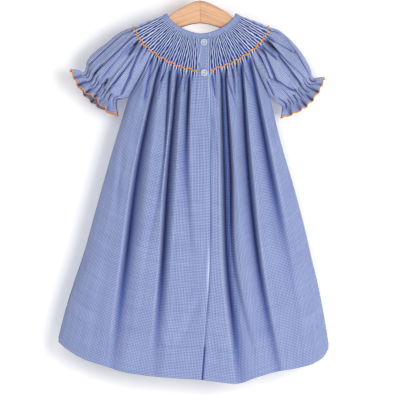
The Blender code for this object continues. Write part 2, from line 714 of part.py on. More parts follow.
def collection_named(name):
    made = bpy.data.collections.get(name)
    if made is None:
        made = bpy.data.collections.new(name)
        bpy.context.scene.collection.children.link(made)
    return made


def make_arm(side, collection):
    """One half of the wooden hanger: a flat outline with rounded edges, cut square where the halves meet."""
    tip_angle = np.linspace(math.radians(75), math.radians(-75), 7)
    tip_radius = 7.2
    tip = [(ARM_TIP_X - tip_radius + tip_radius * math.cos(a), ARM_TIP_Z + tip_radius * math.sin(a)) for a in tip_angle]
    top_x = np.linspace(6.0, ARM_TOP["x"][-1] - 1, 16)
    bottom_x = np.linspace(ARM_BOTTOM["x"][-1] - 1, 0.0, 14)
    outline = [(0.0, ARM_PEAK_Z)]
    outline += list(zip(top_x, through(ARM_TOP["x"], ARM_TOP["z"], top_x)))
    outline += tip
    outline += list(zip(bottom_x, through(ARM_BOTTOM["x"], ARM_BOTTOM["z"], bottom_x)))
    curve = bpy.data.curves.new("arm_outline", "CURVE")
    curve.dimensions = "2D"
    curve.fill_mode = "BOTH"
    curve.extrude = ARM_HALF_THICK * METRES
    spline = curve.splines.new("POLY")
    spline.points.add(len(outline) - 1)
    for point, (x, z) in zip(spline.points, outline):
        point.co = (side * x * METRES, z * METRES, 0, 1)
    spline.use_cyclic_u = True
    flat = bpy.data.objects.new("arm_outline", curve)
    bpy.context.scene.collection.objects.link(flat)
    graph = bpy.context.evaluated_depsgraph_get()
    mesh = bpy.data.meshes.new_from_object(flat.evaluated_get(graph))
    bpy.data.objects.remove(flat)
    name = "hanger_arm_left" if side < 0 else "hanger_arm_right"
    mesh.name = name
    shape = bmesh.new()
    shape.from_mesh(mesh)
    bmesh.ops.remove_doubles(shape, verts=shape.verts, dist=1e-6)
    bmesh.ops.recalc_face_normals(shape, faces=shape.faces)
    long_edges = [
        edge
        for edge in shape.edges
        if abs(abs(edge.verts[0].co.z) - ARM_HALF_THICK * METRES) < 1e-6
        and abs(edge.verts[0].co.z - edge.verts[1].co.z) < 1e-6
        and max(abs(v.co.x) for v in edge.verts) > 1e-6
        and edge.calc_face_angle(0) > 1.0
    ]
    bmesh.ops.bevel(
        shape, geom=long_edges, offset=ARM_ROUNDING * METRES, segments=3, profile=0.5, affect="EDGES", clamp_overlap=True
    )
    shape.to_mesh(mesh)
    shape.free()
    mesh.shade_smooth()
    mesh.set_sharp_from_angle(angle=math.radians(40))
    arm = add_object(name, mesh, material("wood", roughness=0.45), collection)
    arm.rotation_euler = (math.pi / 2, 0, 0)
    arm.location = (side * ARM_JOINT_GAP * METRES, 0, 0)
    return arm


def make_hook(collection):
    """The wire hook: a straight shank, a bend to the right, and a round crook over the seat."""
    centre_z = -HOOK_INNER_RADIUS
    radius = HOOK_INNER_RADIUS + HOOK_WIRE_RADIUS
    crook = [math.radians(a) for a in np.linspace(-52, 205, 23)]
    path = [(radius * math.cos(a), centre_z + radius * math.sin(a)) for a in crook]
    start_x, start_z = path[0]
    foot_z = ARM_PEAK_Z + LAY_GAP
    shank = [(0.0, foot_z), (0.0, foot_z + 8)]
    for t in np.linspace(0.2, 0.85, 5):
        shank.append((start_x * smooth(t) * 0.98, mix(foot_z + 10, start_z, t)))
    curve = bpy.data.curves.new("hook", "CURVE")
    curve.dimensions = "3D"
    curve.bevel_depth = HOOK_WIRE_RADIUS * METRES
    curve.bevel_resolution = 2
    curve.use_fill_caps = True
    spline = curve.splines.new("POLY")
    route = shank + path
    spline.points.add(len(route) - 1)
    for point, (x, z) in zip(spline.points, route):
        point.co = (x * METRES, 0, z * METRES, 1)
    return add_object("hook", curve, material("steel", metallic=1.0, roughness=0.25), collection)


def main():
    for old in list(bpy.data.objects):
        bpy.data.objects.remove(old)
    dress = collection_named("smocked_dress")
    panels = make_cloth(dress)
    make_binding(dress)
    points, facing = make_placket(panels, dress)
    make_buttons(points, facing, dress)
    for side in (-1, 1):
        make_arm(side, dress)
    make_hook(dress)


main()
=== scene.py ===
# %% [markdown]
# # A smocked dress on its hanger
#
# A child's bishop dress hangs from a small wooden hanger with its buttoned back towards us. Its yoke is
# smocked: the cloth is pleated very finely, stitched so that the pleats stay, and let go below an orange
# line of stitches, where it falls in soft folds.
#
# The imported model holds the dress's solids in one frame. This lesson keeps their sizes and dresses them:
# each cloth solid gives way to a finer cloth worked out from the same curves, and the sewing is added.

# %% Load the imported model
import json
import math

import bpy
import numpy as np
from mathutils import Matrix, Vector

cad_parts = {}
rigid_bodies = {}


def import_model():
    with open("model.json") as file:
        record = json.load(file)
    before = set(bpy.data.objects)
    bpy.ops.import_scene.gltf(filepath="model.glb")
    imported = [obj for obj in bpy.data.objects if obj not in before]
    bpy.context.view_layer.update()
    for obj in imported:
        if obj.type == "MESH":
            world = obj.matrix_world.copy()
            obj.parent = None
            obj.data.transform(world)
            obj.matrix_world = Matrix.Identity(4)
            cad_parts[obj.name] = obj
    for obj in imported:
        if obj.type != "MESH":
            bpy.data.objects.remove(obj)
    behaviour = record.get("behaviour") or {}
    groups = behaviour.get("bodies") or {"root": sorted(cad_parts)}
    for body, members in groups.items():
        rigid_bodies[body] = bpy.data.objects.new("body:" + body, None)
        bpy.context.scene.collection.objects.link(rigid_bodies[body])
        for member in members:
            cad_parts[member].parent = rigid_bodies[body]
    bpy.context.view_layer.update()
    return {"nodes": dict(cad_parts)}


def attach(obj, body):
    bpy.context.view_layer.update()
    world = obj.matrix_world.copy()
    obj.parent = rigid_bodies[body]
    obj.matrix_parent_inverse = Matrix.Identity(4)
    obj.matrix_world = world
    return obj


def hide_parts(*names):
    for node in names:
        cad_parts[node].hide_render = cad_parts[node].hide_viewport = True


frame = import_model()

print("nodes:", ", ".join(sorted(frame["nodes"])))

# %% [markdown]
# ## Small tools for curves
#
# A dress is drawn with curves through a few measured points. A maker keeps such points in a short table,
# and a smooth curve through them gives every place between. Sizes are in millimetres, and are turned into
# Blender's metres when a mesh is made.

# %% Tables, blends and smooth curves
METRES = 0.001


def table(columns, rows):
    """A short table as a dictionary of arrays, one for each named column."""
    return dict(zip(columns.split(), np.array(rows, float).T))


def mix(a, b, share):
    """a where share is 0, b where it is 1, and in proportion between."""
    return a + (b - a) * share


def smooth(t):
    """0 below 0, 1 above 1, and between them 3 t squared less 2 t cubed."""
    t = np.clip(t, 0.0, 1.0)
    return t * t * (3.0 - 2.0 * t)


def bell(d):
    """A soft bump: e to the power of minus d squared."""
    return np.exp(-(d**2))


def through(xs, ys, at):
    """The smooth curve through a table's points: cubic pieces whose slopes come from their neighbours."""
    slope = np.gradient(ys, xs)
    i = np.clip(np.searchsorted(xs, at) - 1, 0, len(xs) - 2)
    step = xs[i + 1] - xs[i]
    t = np.clip((at - xs[i]) / step, 0.0, 1.0)
    rise = ys[i] * (1 + 2 * t) * (1 - t) ** 2 + ys[i + 1] * t * t * (3 - 2 * t)
    bend = slope[i] * t * (1 - t) ** 2 - slope[i + 1] * t * t * (1 - t)
    return rise + step * bend


def unit(v):
    """Vectors divided by their length."""
    return v / np.maximum(np.linalg.norm(v, axis=-1, keepdims=True), 1e-9)


# %% [markdown]
# ## Finishes: shader maths written as Python
#
# A woven check, wood grain or a thread's twist is a sum: a sine of a place, a step, a product. In the
# shader editor each sum is a Math node. One small class wraps a node's output, so that `wave * 0.5 + 0.5`
# adds those nodes by itself, and a recipe class adds every other kind of node with one method.

# %% A value on a wire
class Wire:
    """A node's output. Arithmetic on it adds Math nodes to the same recipe."""

    def __init__(self, recipe, socket):
        self.recipe = recipe
        self.socket = socket

    def math(self, operation, *others):
        return self.recipe.node("ShaderNodeMath", {"operation": operation}, dict(enumerate((self, *others))))

    def __add__(self, other):
        return self.math("ADD", other)

    def __sub__(self, other):
        return self.math("SUBTRACT", other)

    def __rsub__(self, other):
        return self.recipe.node("ShaderNodeMath", {"operation": "SUBTRACT"}, {0: other, 1: self})

    def __mul__(self, other):
        return self.math("MULTIPLY", other)

    def __pow__(self, other):
        return self.math("POWER", other)

    __radd__ = __add__
    __rmul__ = __mul__

    def sine(self):
        return self.math("SINE")

    def between(self, low=0.0, high=1.0):
        """The value held between two numbers."""
        return self.math("MAXIMUM", low).math("MINIMUM", high)


# %% [markdown]
# A recipe holds one finish. Its `node` method adds any kind of node, so a new finish needs no new tool, and
# its other methods are short names for what most finishes use.

# %% A recipe that collects nodes
class Recipe:
    """A material built from nodes round one Principled shader."""

    def __init__(self, name, **constants):
        self.material = bpy.data.materials.new(name)
        self.material.use_nodes = True
        self.tree = self.material.node_tree
        self.shader = self.tree.nodes["Principled BSDF"]
        for socket, value in constants.items():
            self.shader.inputs[socket.replace("_", " ")].default_value = value

    def node(self, kind, settings=None, inputs=None, output=0):
        """Any node: its settings are set first, then the values or wires of its sockets. A ramp's stops are
        its two ends, then those between."""
        made = self.tree.nodes.new(kind)
        for name, value in (settings or {}).items():
            if name == "stops":
                for stop, (place, colour) in zip(made.color_ramp.elements, value):
                    stop.position = place
                    stop.color = (*colour, 1.0)
                for place, colour in value[2:]:
                    made.color_ramp.elements.new(place).color = (*colour, 1.0)
            else:
                setattr(made, name, value)
        for key, value in (inputs or {}).items():
            if isinstance(value, Wire):
                self.tree.links.new(value.socket, made.inputs[key])
            else:
                made.inputs[key].default_value = value
        return Wire(self, made.outputs[output])

    def blend(self, a, b, share, how="MIX"):
        """Two colours mixed; a plain colour is three numbers."""
        a, b = ((*c, 1.0) if isinstance(c, tuple) else c for c in (a, b))
        return self.node("ShaderNodeMix", {"data_type": "RGBA", "blend_type": how}, {0: share, 6: a, 7: b}, 2)

    def places(self, layer=None):
        """x, y and z of Object coordinates, or u and v of a UV layer, in millimetres."""
        if layer:
            where = self.node("ShaderNodeUVMap", {"uv_map": layer})
        else:
            where = self.node("ShaderNodeTexCoord", output=3)
        parts = [self.node("ShaderNodeSeparateXYZ", inputs={0: where}, output=k) for k in range(3)]
        return [part * 1000.0 for part in parts]

    def point(self, x, y, z=0.0):
        """Three values joined into a place."""
        return self.node("ShaderNodeCombineXYZ", inputs={0: x, 1: y, 2: z})

    def noise(self, place, scale=1.0, detail=2.0, roughness=0.5):
        inputs = {"Vector": place, "Scale": scale, "Detail": detail, "Roughness": roughness}
        return self.node("ShaderNodeTexNoise", inputs=inputs)

    def bumped(self, height, distance_mm, strength=1.0):
        """Sends a height to the shader's normal."""
        inputs = {"Height": height, "Distance": distance_mm * METRES, "Strength": strength}
        return self.feed("Normal", self.node("ShaderNodeBump", inputs=inputs))

    def carried(self, name):
        """A value that each point of the piece carries."""
        return self.node("ShaderNodeAttribute", {"attribute_name": name}, output=2)

    def feed(self, socket, value):
        self.tree.links.new(value.socket, self.shader.inputs[socket])
        return value


# %% [markdown]
# ## Gingham
#
# Gingham is woven from light and dark yarns in equal stripes both ways. Where two light stripes cross it is
# nearly white, where two dark ones cross it is navy, and the mixed places are mid-blue. These checks are
# tiny, so that the cloth reads as lavender blue from a distance.
#
# The pattern must follow the cloth, so it reads a UV map that is the cloth laid flat, in metres. Deep pleats
# see little light, so shade is painted there: values that each piece carries darken its creases and pleats
# with painted shade, and lighten the tops of pleats and folds with painted highlights.

# %% The gingham's yarns
CHECK = 2.45
YARN = 0.45
LIGHT_YARN = (0.42, 0.485, 0.725)
DARK_YARN = (0.072, 0.115, 0.32)
# Painted highlight: the pale colour of the lit tops of pleats and folds, and of glints on edges.
CROWN_HIGHLIGHT = (0.80, 0.86, 1.0)
# Painted shade: the deep blue in the valleys of the smocked pleats.
PLEAT_SHADE_BLUE = (0.02, 0.075, 0.35)
# Painted shade: a ramp that darkens creases, folds and gathers towards navy.
CREASE_SHADE_STOPS = [(0.0, (1.0, 1.0, 1.0)), (1.0, (0.002, 0.008, 0.045)), (0.5, (0.34, 0.41, 0.68))]


def gingham(name, turned=0.0, contrast=1.05, light=LIGHT_YARN, dark=DARK_YARN):
    """Checked cotton: two stripes across each other, a slight slub in the yarns, and a plain weave's bump. Over
    them go painted shade in creases and pleats, which keeps its blue as it darkens, as light in a real fold
    meets more blue cloth before it comes out, and painted highlights on the tops of pleats and folds."""
    cloth = Recipe(name, Roughness=0.86, Sheen_Weight=0.18, Sheen_Roughness=0.5, Specular_IOR_Level=0.25)
    u, v, _ = cloth.places("cloth")
    c, s = math.cos(turned), math.sin(turned)
    across = u * c + v * s
    down = v * c - u * s
    stripe_u = ((across * (2 * math.pi / CHECK)).sine() * contrast + 0.5).between()
    stripe_v = ((down * (2 * math.pi / CHECK)).sine() * contrast + 0.5).between()
    slub_u = cloth.noise(cloth.point(across * 0.9, down * 0.012), 1.0, 3.0)
    slub_v = cloth.noise(cloth.point(across * 0.012, down * 0.9), 1.0, 3.0)
    uneven = cloth.noise(cloth.point(u * 0.02, v * 0.02), 1.0, 2.0)
    share = ((stripe_u + stripe_v) * 0.5 + (slub_u + slub_v - 1.0) * 0.55 + (uneven - 0.5) * 0.16).between()
    colour = cloth.blend(light, dark, share)
    # Painted shade in the smocked valleys, a painted highlight on lit tops, then painted shade in creases.
    colour = cloth.blend(colour, PLEAT_SHADE_BLUE, cloth.carried("pleat").between())
    colour = cloth.blend(colour, CROWN_HIGHLIGHT, (cloth.carried("crown") * 0.9).between())
    tint = cloth.node("ShaderNodeValToRGB", {"stops": CREASE_SHADE_STOPS}, {0: cloth.carried("crease").between()})
    cloth.feed("Base Color", cloth.blend(colour, tint, 1.0, "MULTIPLY"))
    weave = (across * (2 * math.pi / YARN)).sine() * (down * (2 * math.pi / YARN)).sine()
    cloth.bumped(weave * 0.5 + (slub_u + slub_v) * 0.6, 0.12, 0.5)
    return cloth.material


cotton = gingham("checked cotton")
sleeve_cotton = gingham("checked cotton of the sleeves", 0.0, 1.9, (0.52, 0.575, 0.79), (0.055, 0.09, 0.29))
bias_cotton = gingham("checked cotton cut on the bias", math.pi / 4, contrast=0.9)
print("checks of", CHECK, "mm")

# %% [markdown]
# ## Thread
#
# Embroidery thread is two strands twisted together. Drawn as a thin tube with its length in one direction
# of its UV map, slanting lines over it are the twist: one sine of length and girth together.

# %% Threads
def thread(name, colour, shadow, twist=1.4):
    """A twisted thread: slanting ridges, darker between the strands."""
    cord = Recipe(name, Roughness=0.7, Sheen_Weight=0.05, Specular_IOR_Level=0.25)
    girth, length, _ = cord.places("cloth")
    ridge = ((length * (2 * math.pi / twist) + girth * 1.6).sine() * 0.5 + 0.5).between()
    fuzz = cord.noise(cord.point(length * 2.0, girth * 2.0), 1.0, 3.0)
    cord.feed("Base Color", cord.blend(shadow, colour, (ridge * 0.7 + fuzz * 0.5).between()))
    cord.bumped(ridge + fuzz * 0.3, 0.25, 0.7)
    return cord.material


orange_thread = thread("orange embroidery thread", (0.92, 0.39, 0.010), (0.66, 0.21, 0.004))
blue_thread = thread("blue sewing thread", (0.52, 0.56, 0.76), (0.26, 0.30, 0.52), 0.8)
white_thread = thread("white sewing thread", (0.86, 0.87, 0.90), (0.55, 0.57, 0.64), 0.8)
print("threads: orange for the smocking, blue for seams, white for buttons")


# %% [markdown]
# ## Wood, steel and buttons
#
# The hanger is pale lacquered beech. Its grain runs along each arm, so the rings are worked out in a frame
# turned with the arm: long wavy lines of a noise stretched along the arm. Each half is cut from another
# board, so the two differ where they meet.

# %% Lacquered wood for each half
BEECH_STOPS = [(0.0, (0.77, 0.47, 0.27)), (1.0, (0.46, 0.21, 0.10)), (0.45, (0.66, 0.36, 0.19))]
# Painted shade for the arm's underside, also used to darken its top edge and the mitre.
UNDERSIDE_SHADE_BROWN = (0.22, 0.085, 0.035)


def beech(name, slope, shift, tone):
    """Grain lines along an arm that falls by slope, with fine pores and soft broad bands. The arm's edge value
    puts painted shade on its underside, and darkens its top edge and the mitre."""
    wood = Recipe(name, Roughness=0.42, Coat_Weight=0.25, Coat_Roughness=0.25)
    x, y, z = wood.places()
    c, s = math.cos(slope), math.sin(slope)
    along = x * c + z * s + shift
    up = z * c - x * s
    bend = wood.noise(wood.point(along * 0.012, up * 0.05, y * 0.03), 1.0, 2.0)
    rings = ((up * 1.3 + y * 0.3 + bend * 14.0).sine() * 0.5 + 0.5) ** 2.0
    bands = wood.noise(wood.point(along * 0.01, up * 0.16, y * 0.1), 1.0, 3.0)
    pores = wood.noise(wood.point(along * 0.12, up * 3.0, y * 3.0), 1.0, 4.0, 0.65)
    share = (rings * 0.16 + (bands - 0.5) * 1.0 + (pores - 0.5) * 0.7 + 0.28 + tone).between()
    colour = wood.node("ShaderNodeValToRGB", {"stops": BEECH_STOPS}, {0: share})
    # Painted shade on the underside, and darker along the top edge and at the mitre.
    wood.feed("Base Color", wood.blend(colour, UNDERSIDE_SHADE_BROWN, (wood.carried("edge") * 0.8).between()))
    wood.bumped(pores + rings * 0.4, 0.08, 0.35)
    return wood.material


wood_left = beech("lacquered beech, left half", math.radians(20), 40.0, 0.0)
wood_right = beech("lacquered beech, right half", math.radians(-20), 310.0, 0.10)


# %% [markdown]
# The hook is drawn steel wire and the buttons are pearly resin. Both are smooth, so what shows is how they
# mirror the room: fine lines in the steel's roughness, and a gloss coat over the resin's soft clouds.

# %% Bright steel wire and clear-white buttons
HOLE_SHADOW = (0.05, 0.075, 0.15)


def bright_steel():
    """Drawn wire: faint scratches along it and a little dulling."""
    steel = Recipe("bright drawn steel", Metallic=1.0)
    x, y, z = steel.places()
    lines = steel.noise(steel.point(x * 0.6, y * 4.0, z * 0.6), 1.0, 4.0)
    cloud = steel.noise(steel.point(x * 0.05, y * 0.05, z * 0.05), 1.0, 2.0)
    steel.feed("Base Color", steel.blend((0.66, 0.66, 0.68), (0.80, 0.80, 0.82), cloud))
    steel.feed("Roughness", lines * 0.16 + 0.16)
    steel.bumped(lines, 0.03, 0.3)
    return steel.material


def clear_white():
    """Pearly resin: soft clouds under a hard gloss, with painted shade in its holes and round its raised rim.
    """
    resin = Recipe("clear-white resin", Roughness=0.16, Coat_Weight=0.6, Coat_Roughness=0.05)
    x, y, z = resin.places()
    cloud = resin.noise(resin.point(x * 0.35, y * 0.35, z * 0.35), 1.0, 3.0)
    colour = resin.blend((0.38, 0.43, 0.56), (0.74, 0.78, 0.84), (cloud * 1.6 - 0.3).between())
    resin.feed("Base Color", resin.blend(colour, HOLE_SHADOW, resin.carried("hole").between()))
    resin.bumped(cloud, 0.05, 0.2)
    return resin.material


wire_steel = bright_steel()
button_resin = clear_white()
print("finishes:", ", ".join(material.name for material in bpy.data.materials[-8:]))


# %% [markdown]
# ## From arrays to meshes
#
# Every piece here is a grid of points: rows one way, columns the other. Four neighbours make a face. A
# closed piece has a sign to its volume, the sum over its faces of one corner's dot product with the cross
# product of two others, and a minus sign means that the faces look inwards and have to be turned round.

# %% Faces and pieces
def cells(rows, columns, wrap=False, loop=False):
    """Corner numbers of a grid's faces. wrap joins the last column to the first, loop the last row."""
    index = np.arange(rows * columns).reshape(rows, columns)
    if wrap:
        index = np.concatenate([index, index[:, :1]], axis=1)
    if loop:
        index = np.concatenate([index, index[:1]], axis=0)
    return np.stack([index[:-1, :-1], index[:-1, 1:], index[1:, 1:], index[1:, :-1]], axis=-1).reshape(-1, 4)


def end_caps(rows, sides):
    """Corner numbers of the two faces that close a grid wrapped into a tube."""
    return np.stack([np.arange(sides)[::-1], np.arange(sides) + (rows - 1) * sides])


def make_piece(name, points, faces, finish, uvs=None, values=None):
    """A piece from whole arrays: faces is a list of arrays of corners, and uvs gives those corners' places
    on the flat cloth. Its faces are turned outwards by the sign of its volume, and it rides on the dress."""
    points = np.asarray(points, float).reshape(-1, 3)
    near = points - points.mean(axis=0)
    volume = 0.0
    for group in faces:
        for k in range(1, group.shape[1] - 1):
            crossed = np.cross(near[group[:, k]], near[group[:, k + 1]])
            volume += (near[group[:, 0]] * crossed).sum() / 6
    turn = slice(None, None, -1 if volume < 0 else 1)
    mesh = bpy.data.meshes.new(name)
    corners = [row for group in faces for row in group[:, turn].tolist()]
    mesh.from_pydata((points * METRES).tolist(), [], corners)
    if uvs is not None:
        flat = np.concatenate([group[:, turn].reshape(-1, 2) for group in uvs])
        mesh.uv_layers.new(name="cloth").data.foreach_set("uv", (flat * METRES).ravel())
    for label, value in (values or {}).items():
        layer = mesh.attributes.new(label, "FLOAT", "POINT").data
        layer.foreach_set("value", np.ravel(value).astype(np.float32))
    mesh.shade_smooth()
    mesh.materials.append(finish)
    made = bpy.data.objects.new(name, mesh)
    bpy.context.scene.collection.objects.link(made)
    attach(made, "root")
    made["area"] = float(sum_area(near, faces) * METRES**2)
    triangles = sum(len(group) * (group.shape[1] - 2) for group in faces)
    print(f"{name}: {triangles} triangles, {abs(volume) / 1000:.1f} cubic cm, area {made['area']:.4f} square m")
    return made


def sum_area(points, faces):
    """Area of flat faces: half the length of the sum of their corners' cross products."""
    total = 0.0
    for group in faces:
        crossed = sum(np.cross(points[group[:, k - 1]], points[group[:, k]]) for k in range(group.shape[1]))
        total += np.linalg.norm(crossed, axis=-1).sum() / 2
    return total


# %% [markdown]
# Cloth has two faces and a thickness. Here each cloth is two grids of points, an outer and an inner one,
# joined round their four edges, so that it is closed and has an inside that can be seen.

# %% A closed wall of cloth
def cloth_wall(name, outer, inner, flat, crease, finish, crown=0.0, pleat=0.0):
    """A closed wall between an outer and an inner grid of points, with its four rims. Each point carries three
    painted marks: shade in creases, a highlight on lit tops, and shade in smocked pleats."""
    rows, columns = outer.shape[:2]
    count = rows * columns
    skin = cells(rows, columns)
    index = np.arange(count).reshape(rows, columns)
    edge = np.concatenate([index[0, :-1], index[:-1, -1], index[-1, :0:-1], index[:0:-1, 0]])
    after = np.roll(edge, -1)
    rim = np.stack([after, edge, edge + count, after + count], axis=-1)
    faces = [skin, skin[:, ::-1] + count, rim]
    places = np.concatenate([flat.reshape(-1, 2)] * 2)
    marks = {"crease": crease, "crown": crown, "pleat": pleat}
    return make_piece(
        name,
        np.concatenate([outer.reshape(-1, 3), inner.reshape(-1, 3)]),
        faces,
        finish,
        [places[group] for group in faces],
        {label: np.tile((mark + 0 * crease).ravel(), 2) for label, mark in marks.items()},
    )


# %% [markdown]
# ## The yoke's ring
#
# Laid over the hanger, the smocked yoke is a ring round the neck. Its curve is a superellipse: the power of
# a cosine and of a sine, which makes a U whose sides can be steeper or rounder. One number, the level, goes
# from the neck to the orange line, and another, across, goes along the ring from fold to fold.

# %% A point of the ring
YOKE_CENTRE_X = 2.0
YOKE = table("half_width drop_back drop_front shoulder_z depth arc_back arc_front", [
    (54.2, 32.0, 52.0, -76.8, 11.5, 66.0, 83.0), (108.2, 72.0, 90.0, -98.4, 22.0, 133.0, 153.0),
])
YOKE_POWER = {"back": 1.6, "front": 1.95}
YOKE_SLENDERNESS = {"back": 1.55, "front": 1.12}
FOLD_HALF_DEPTH = 8.8
FOLD_LENGTH = 7.0


def even_angles(face):
    """Angles of the ring's quarter curve against the share of its length, so that pleats are evenly spaced."""
    angle = np.linspace(math.pi / 2, 0.0, 400)
    x = YOKE_SLENDERNESS[face] * np.cos(angle) ** (2 / YOKE_POWER[face])
    z = np.sin(angle) ** (2 / YOKE_POWER[face])
    length = np.concatenate([[0.0], np.cumsum(np.hypot(np.diff(x), np.diff(z)))])
    return length / length[-1], angle


EVEN_ANGLES = {face: even_angles(face) for face in ("back", "front")}


def ring(level, across, face):
    """A point of the yoke: x is the half-width times a power of the angle's cosine, z falls by the drop times
    a power of its sine, and the depth rises round the hanger's arm at the fold."""
    level, across = np.broadcast_arrays(level, across)
    angle = np.interp(np.abs(across), *EVEN_ANGLES[face])
    power = 2 / YOKE_POWER[face]
    x = YOKE_CENTRE_X + np.sign(across) * mix(*YOKE["half_width"], level) * np.cos(angle) ** power
    drop = mix(*YOKE["drop_" + face], level)
    z = mix(*YOKE["shoulder_z"], level) - drop * np.clip(np.sin(angle), 0, 1) ** power
    from_fold = (1 - np.abs(across)) * mix(*YOKE["arc_" + face], level)
    over_arm = np.sqrt(1 - (1 - np.clip(from_fold / FOLD_LENGTH, 0, 1)) ** 2)
    full = mix(*YOKE["depth"], level) - FOLD_HALF_DEPTH
    return x, z, FOLD_HALF_DEPTH * over_arm + full * smooth(1.4 * (1 - np.abs(across)))


def pack(x, z, depth, face):
    """Points in space from x, z and the depth towards the back or the front."""
    x, z, depth = np.broadcast_arrays(x, z, depth)
    return np.stack([x, depth if face == "front" else -depth, z], axis=-1)


print("the ring's lowest back point:", [round(float(v), 1) for v in ring(1.0, 0.0, "back")])

# %% [markdown]
# ## The hanging skirt
#
# Below the smocking the cloth fills a space between four edges: the orange line, the hem, and a side at the
# left and right. The classic way to fill four edges is to blend the top and bottom edges, then add what the
# side edges still need, in proportion. Folds are then pressed in, each a soft valley that wanders down.

# %% Edges of the skirt
RAGLAN_SHARE = 0.63
UNDERARM_ROW = 0.15
SIDES = table("row z left right", [
    (0.15, -211.7, -115.2, 112.8), (0.3, -280.3, -135.8, 129.5), (0.45, -348.9, -155.1, 149.8),
    (0.6, -417.5, -173.7, 168.1), (0.7, -463.3, -186.2, 178.8), (0.8, -509, -201.6, 189.6),
    (0.9, -554.8, -215.6, 198.7), (1, -600.5, -227.2, 206.4),
])
HEM = table("x z", [
    (-227.2, -600.5), (-221.8, -605.5), (-207, -616.5), (-182.4, -629.3), (-151.5, -638.8),
    (-130.2, -646.5), (-92.8, -653.3), (-32, -658.9), (2.2, -661), (33.6, -665), (64.8, -666.3),
    (87.4, -658), (125.4, -647.6), (156.8, -642.2), (184.5, -633.6), (200, -622), (206.4, -610.8),
])
HEM_CORNER_Z = (-600.5, -610.8)
FRONT_HEM_LIFT = 5.0
FULLNESS = table("row depth", [
    (0, 22), (0.15, 27), (0.4, 33), (0.7, 37), (1, 39),
])
SIDE_ROUNDING = 3.6
COLUMN_CROWDING = 0.3


def raglan(down, side, face):
    """A raglan seam, bowed a little, from the orange line (down 0) to the underarm (down 1)."""
    x0, z0, depth0 = ring(1.0, RAGLAN_SHARE * side, face)
    x1 = SIDES["left" if side < 0 else "right"][0]
    x = mix(x0, x1, down) - 8.0 * side * down * (1 - down)
    return x, mix(z0, SIDES["z"][0], down), depth0 * (1 - smooth(down))


def side_edge(row, side, face):
    """The cut panels' side edge: the raglan seam down to the underarm, then the side seam."""
    seam_x, seam_z, _ = raglan(np.clip(row / UNDERARM_ROW, 0, 1), side, face)
    side_x = through(SIDES["row"], SIDES["left" if side < 0 else "right"], row)
    corner = HEM_CORNER_Z[0 if side < 0 else 1]
    side_z = mix(SIDES["z"][0], corner, (row - UNDERARM_ROW) / (1 - UNDERARM_ROW))
    below = row > UNDERARM_ROW
    return np.where(below, side_x, seam_x), np.where(below, side_z, seam_z)


# %% [markdown]
# A main fold is a valley that wanders from the smocking to the hem. A table gives its place, depth and width
# at four heights, and a smooth curve gives the rest. Moving points inwards keeps the cloth in one piece.

# %% Folds pressed into the skirt
FOLD_HEIGHTS = np.array([-185.0, -320.0, -480.0, -660.0])
FOLD_TOP_Z = -140.0
FOLD_COLUMNS = "top x1 x2 x3 x4 depth1 depth2 depth3 depth4 width1 width2 width3 width4 lean"
FOLDS = {
    "back": table(FOLD_COLUMNS, [
        (-59, -71.5, -98.4, -119, -141, 15, 23, 13, 4.5, 2.9, 6, 8, 9, -0.3),
        (-46, -49.7, -59, -88, -110, 13, 7, 2, 1, 2.6, 3, 8, 9, 0),
        (-31.5, -37.2, -49.6, -60, -74, 18, 25, 14, 3, 3.3, 5.2, 5.4, 7.5, -0.2),
        (-15.5, -17.3, -22.4, -15, -12, 17, 9, 2.5, 1.5, 2.6, 6, 10, 13, 0.3),
        (33, 34.4, 38.5, 43.5, 64, 19, 26, 19, 6, 3.2, 6, 7, 8.5, -0.3),
        (40.5, 41.3, 48.5, 54, 95, 15, 17, 8, 1, 2.2, 4.2, 4.6, 9, 0.3),
        (64, 68, 76.5, 93.6, 126, 18, 24, 14, 5, 3.2, 6, 6.6, 7.5, 0.3),
        (77, 86.4, 110.5, 140, 166, 17, 14, 5, 2.5, 4, 7.5, 9, 10, 0.3),
    ]),
    "front": table(FOLD_COLUMNS, [
        (-73, -82, -104, -134, -158, 8, 11, 8, 6.5, 3.6, 6.5, 9, 9, 0.3),
        (-54, -60, -74, -88, -106, 8, 15, 12, 8, 3.2, 5.6, 7, 8, -0.2),
        (-31, -34, -40, -46, -58, 9, 14, 12, 9, 3.2, 5.6, 7.5, 8, 0.2),
        (-7, -8, -10, -4, -2, 7, 11, 8, 4, 3.2, 5.4, 9, 11, 0),
        (20, 22, 26, 38, 50, 9, 16, 12, 9, 3.2, 5.6, 7.5, 8, -0.3),
        (45, 50, 60, 78, 100, 8, 12, 11, 8, 3.2, 5.6, 7.5, 8, 0.2),
        (72, 80, 98, 122, 150, 8, 13, 9, 6.5, 3.4, 6.5, 8, 9, 0),
    ]),
}
LEAST_DEPTH = 6.0
FLOOR_REACH = {"gentle": 1.0, "steep": 0.68}


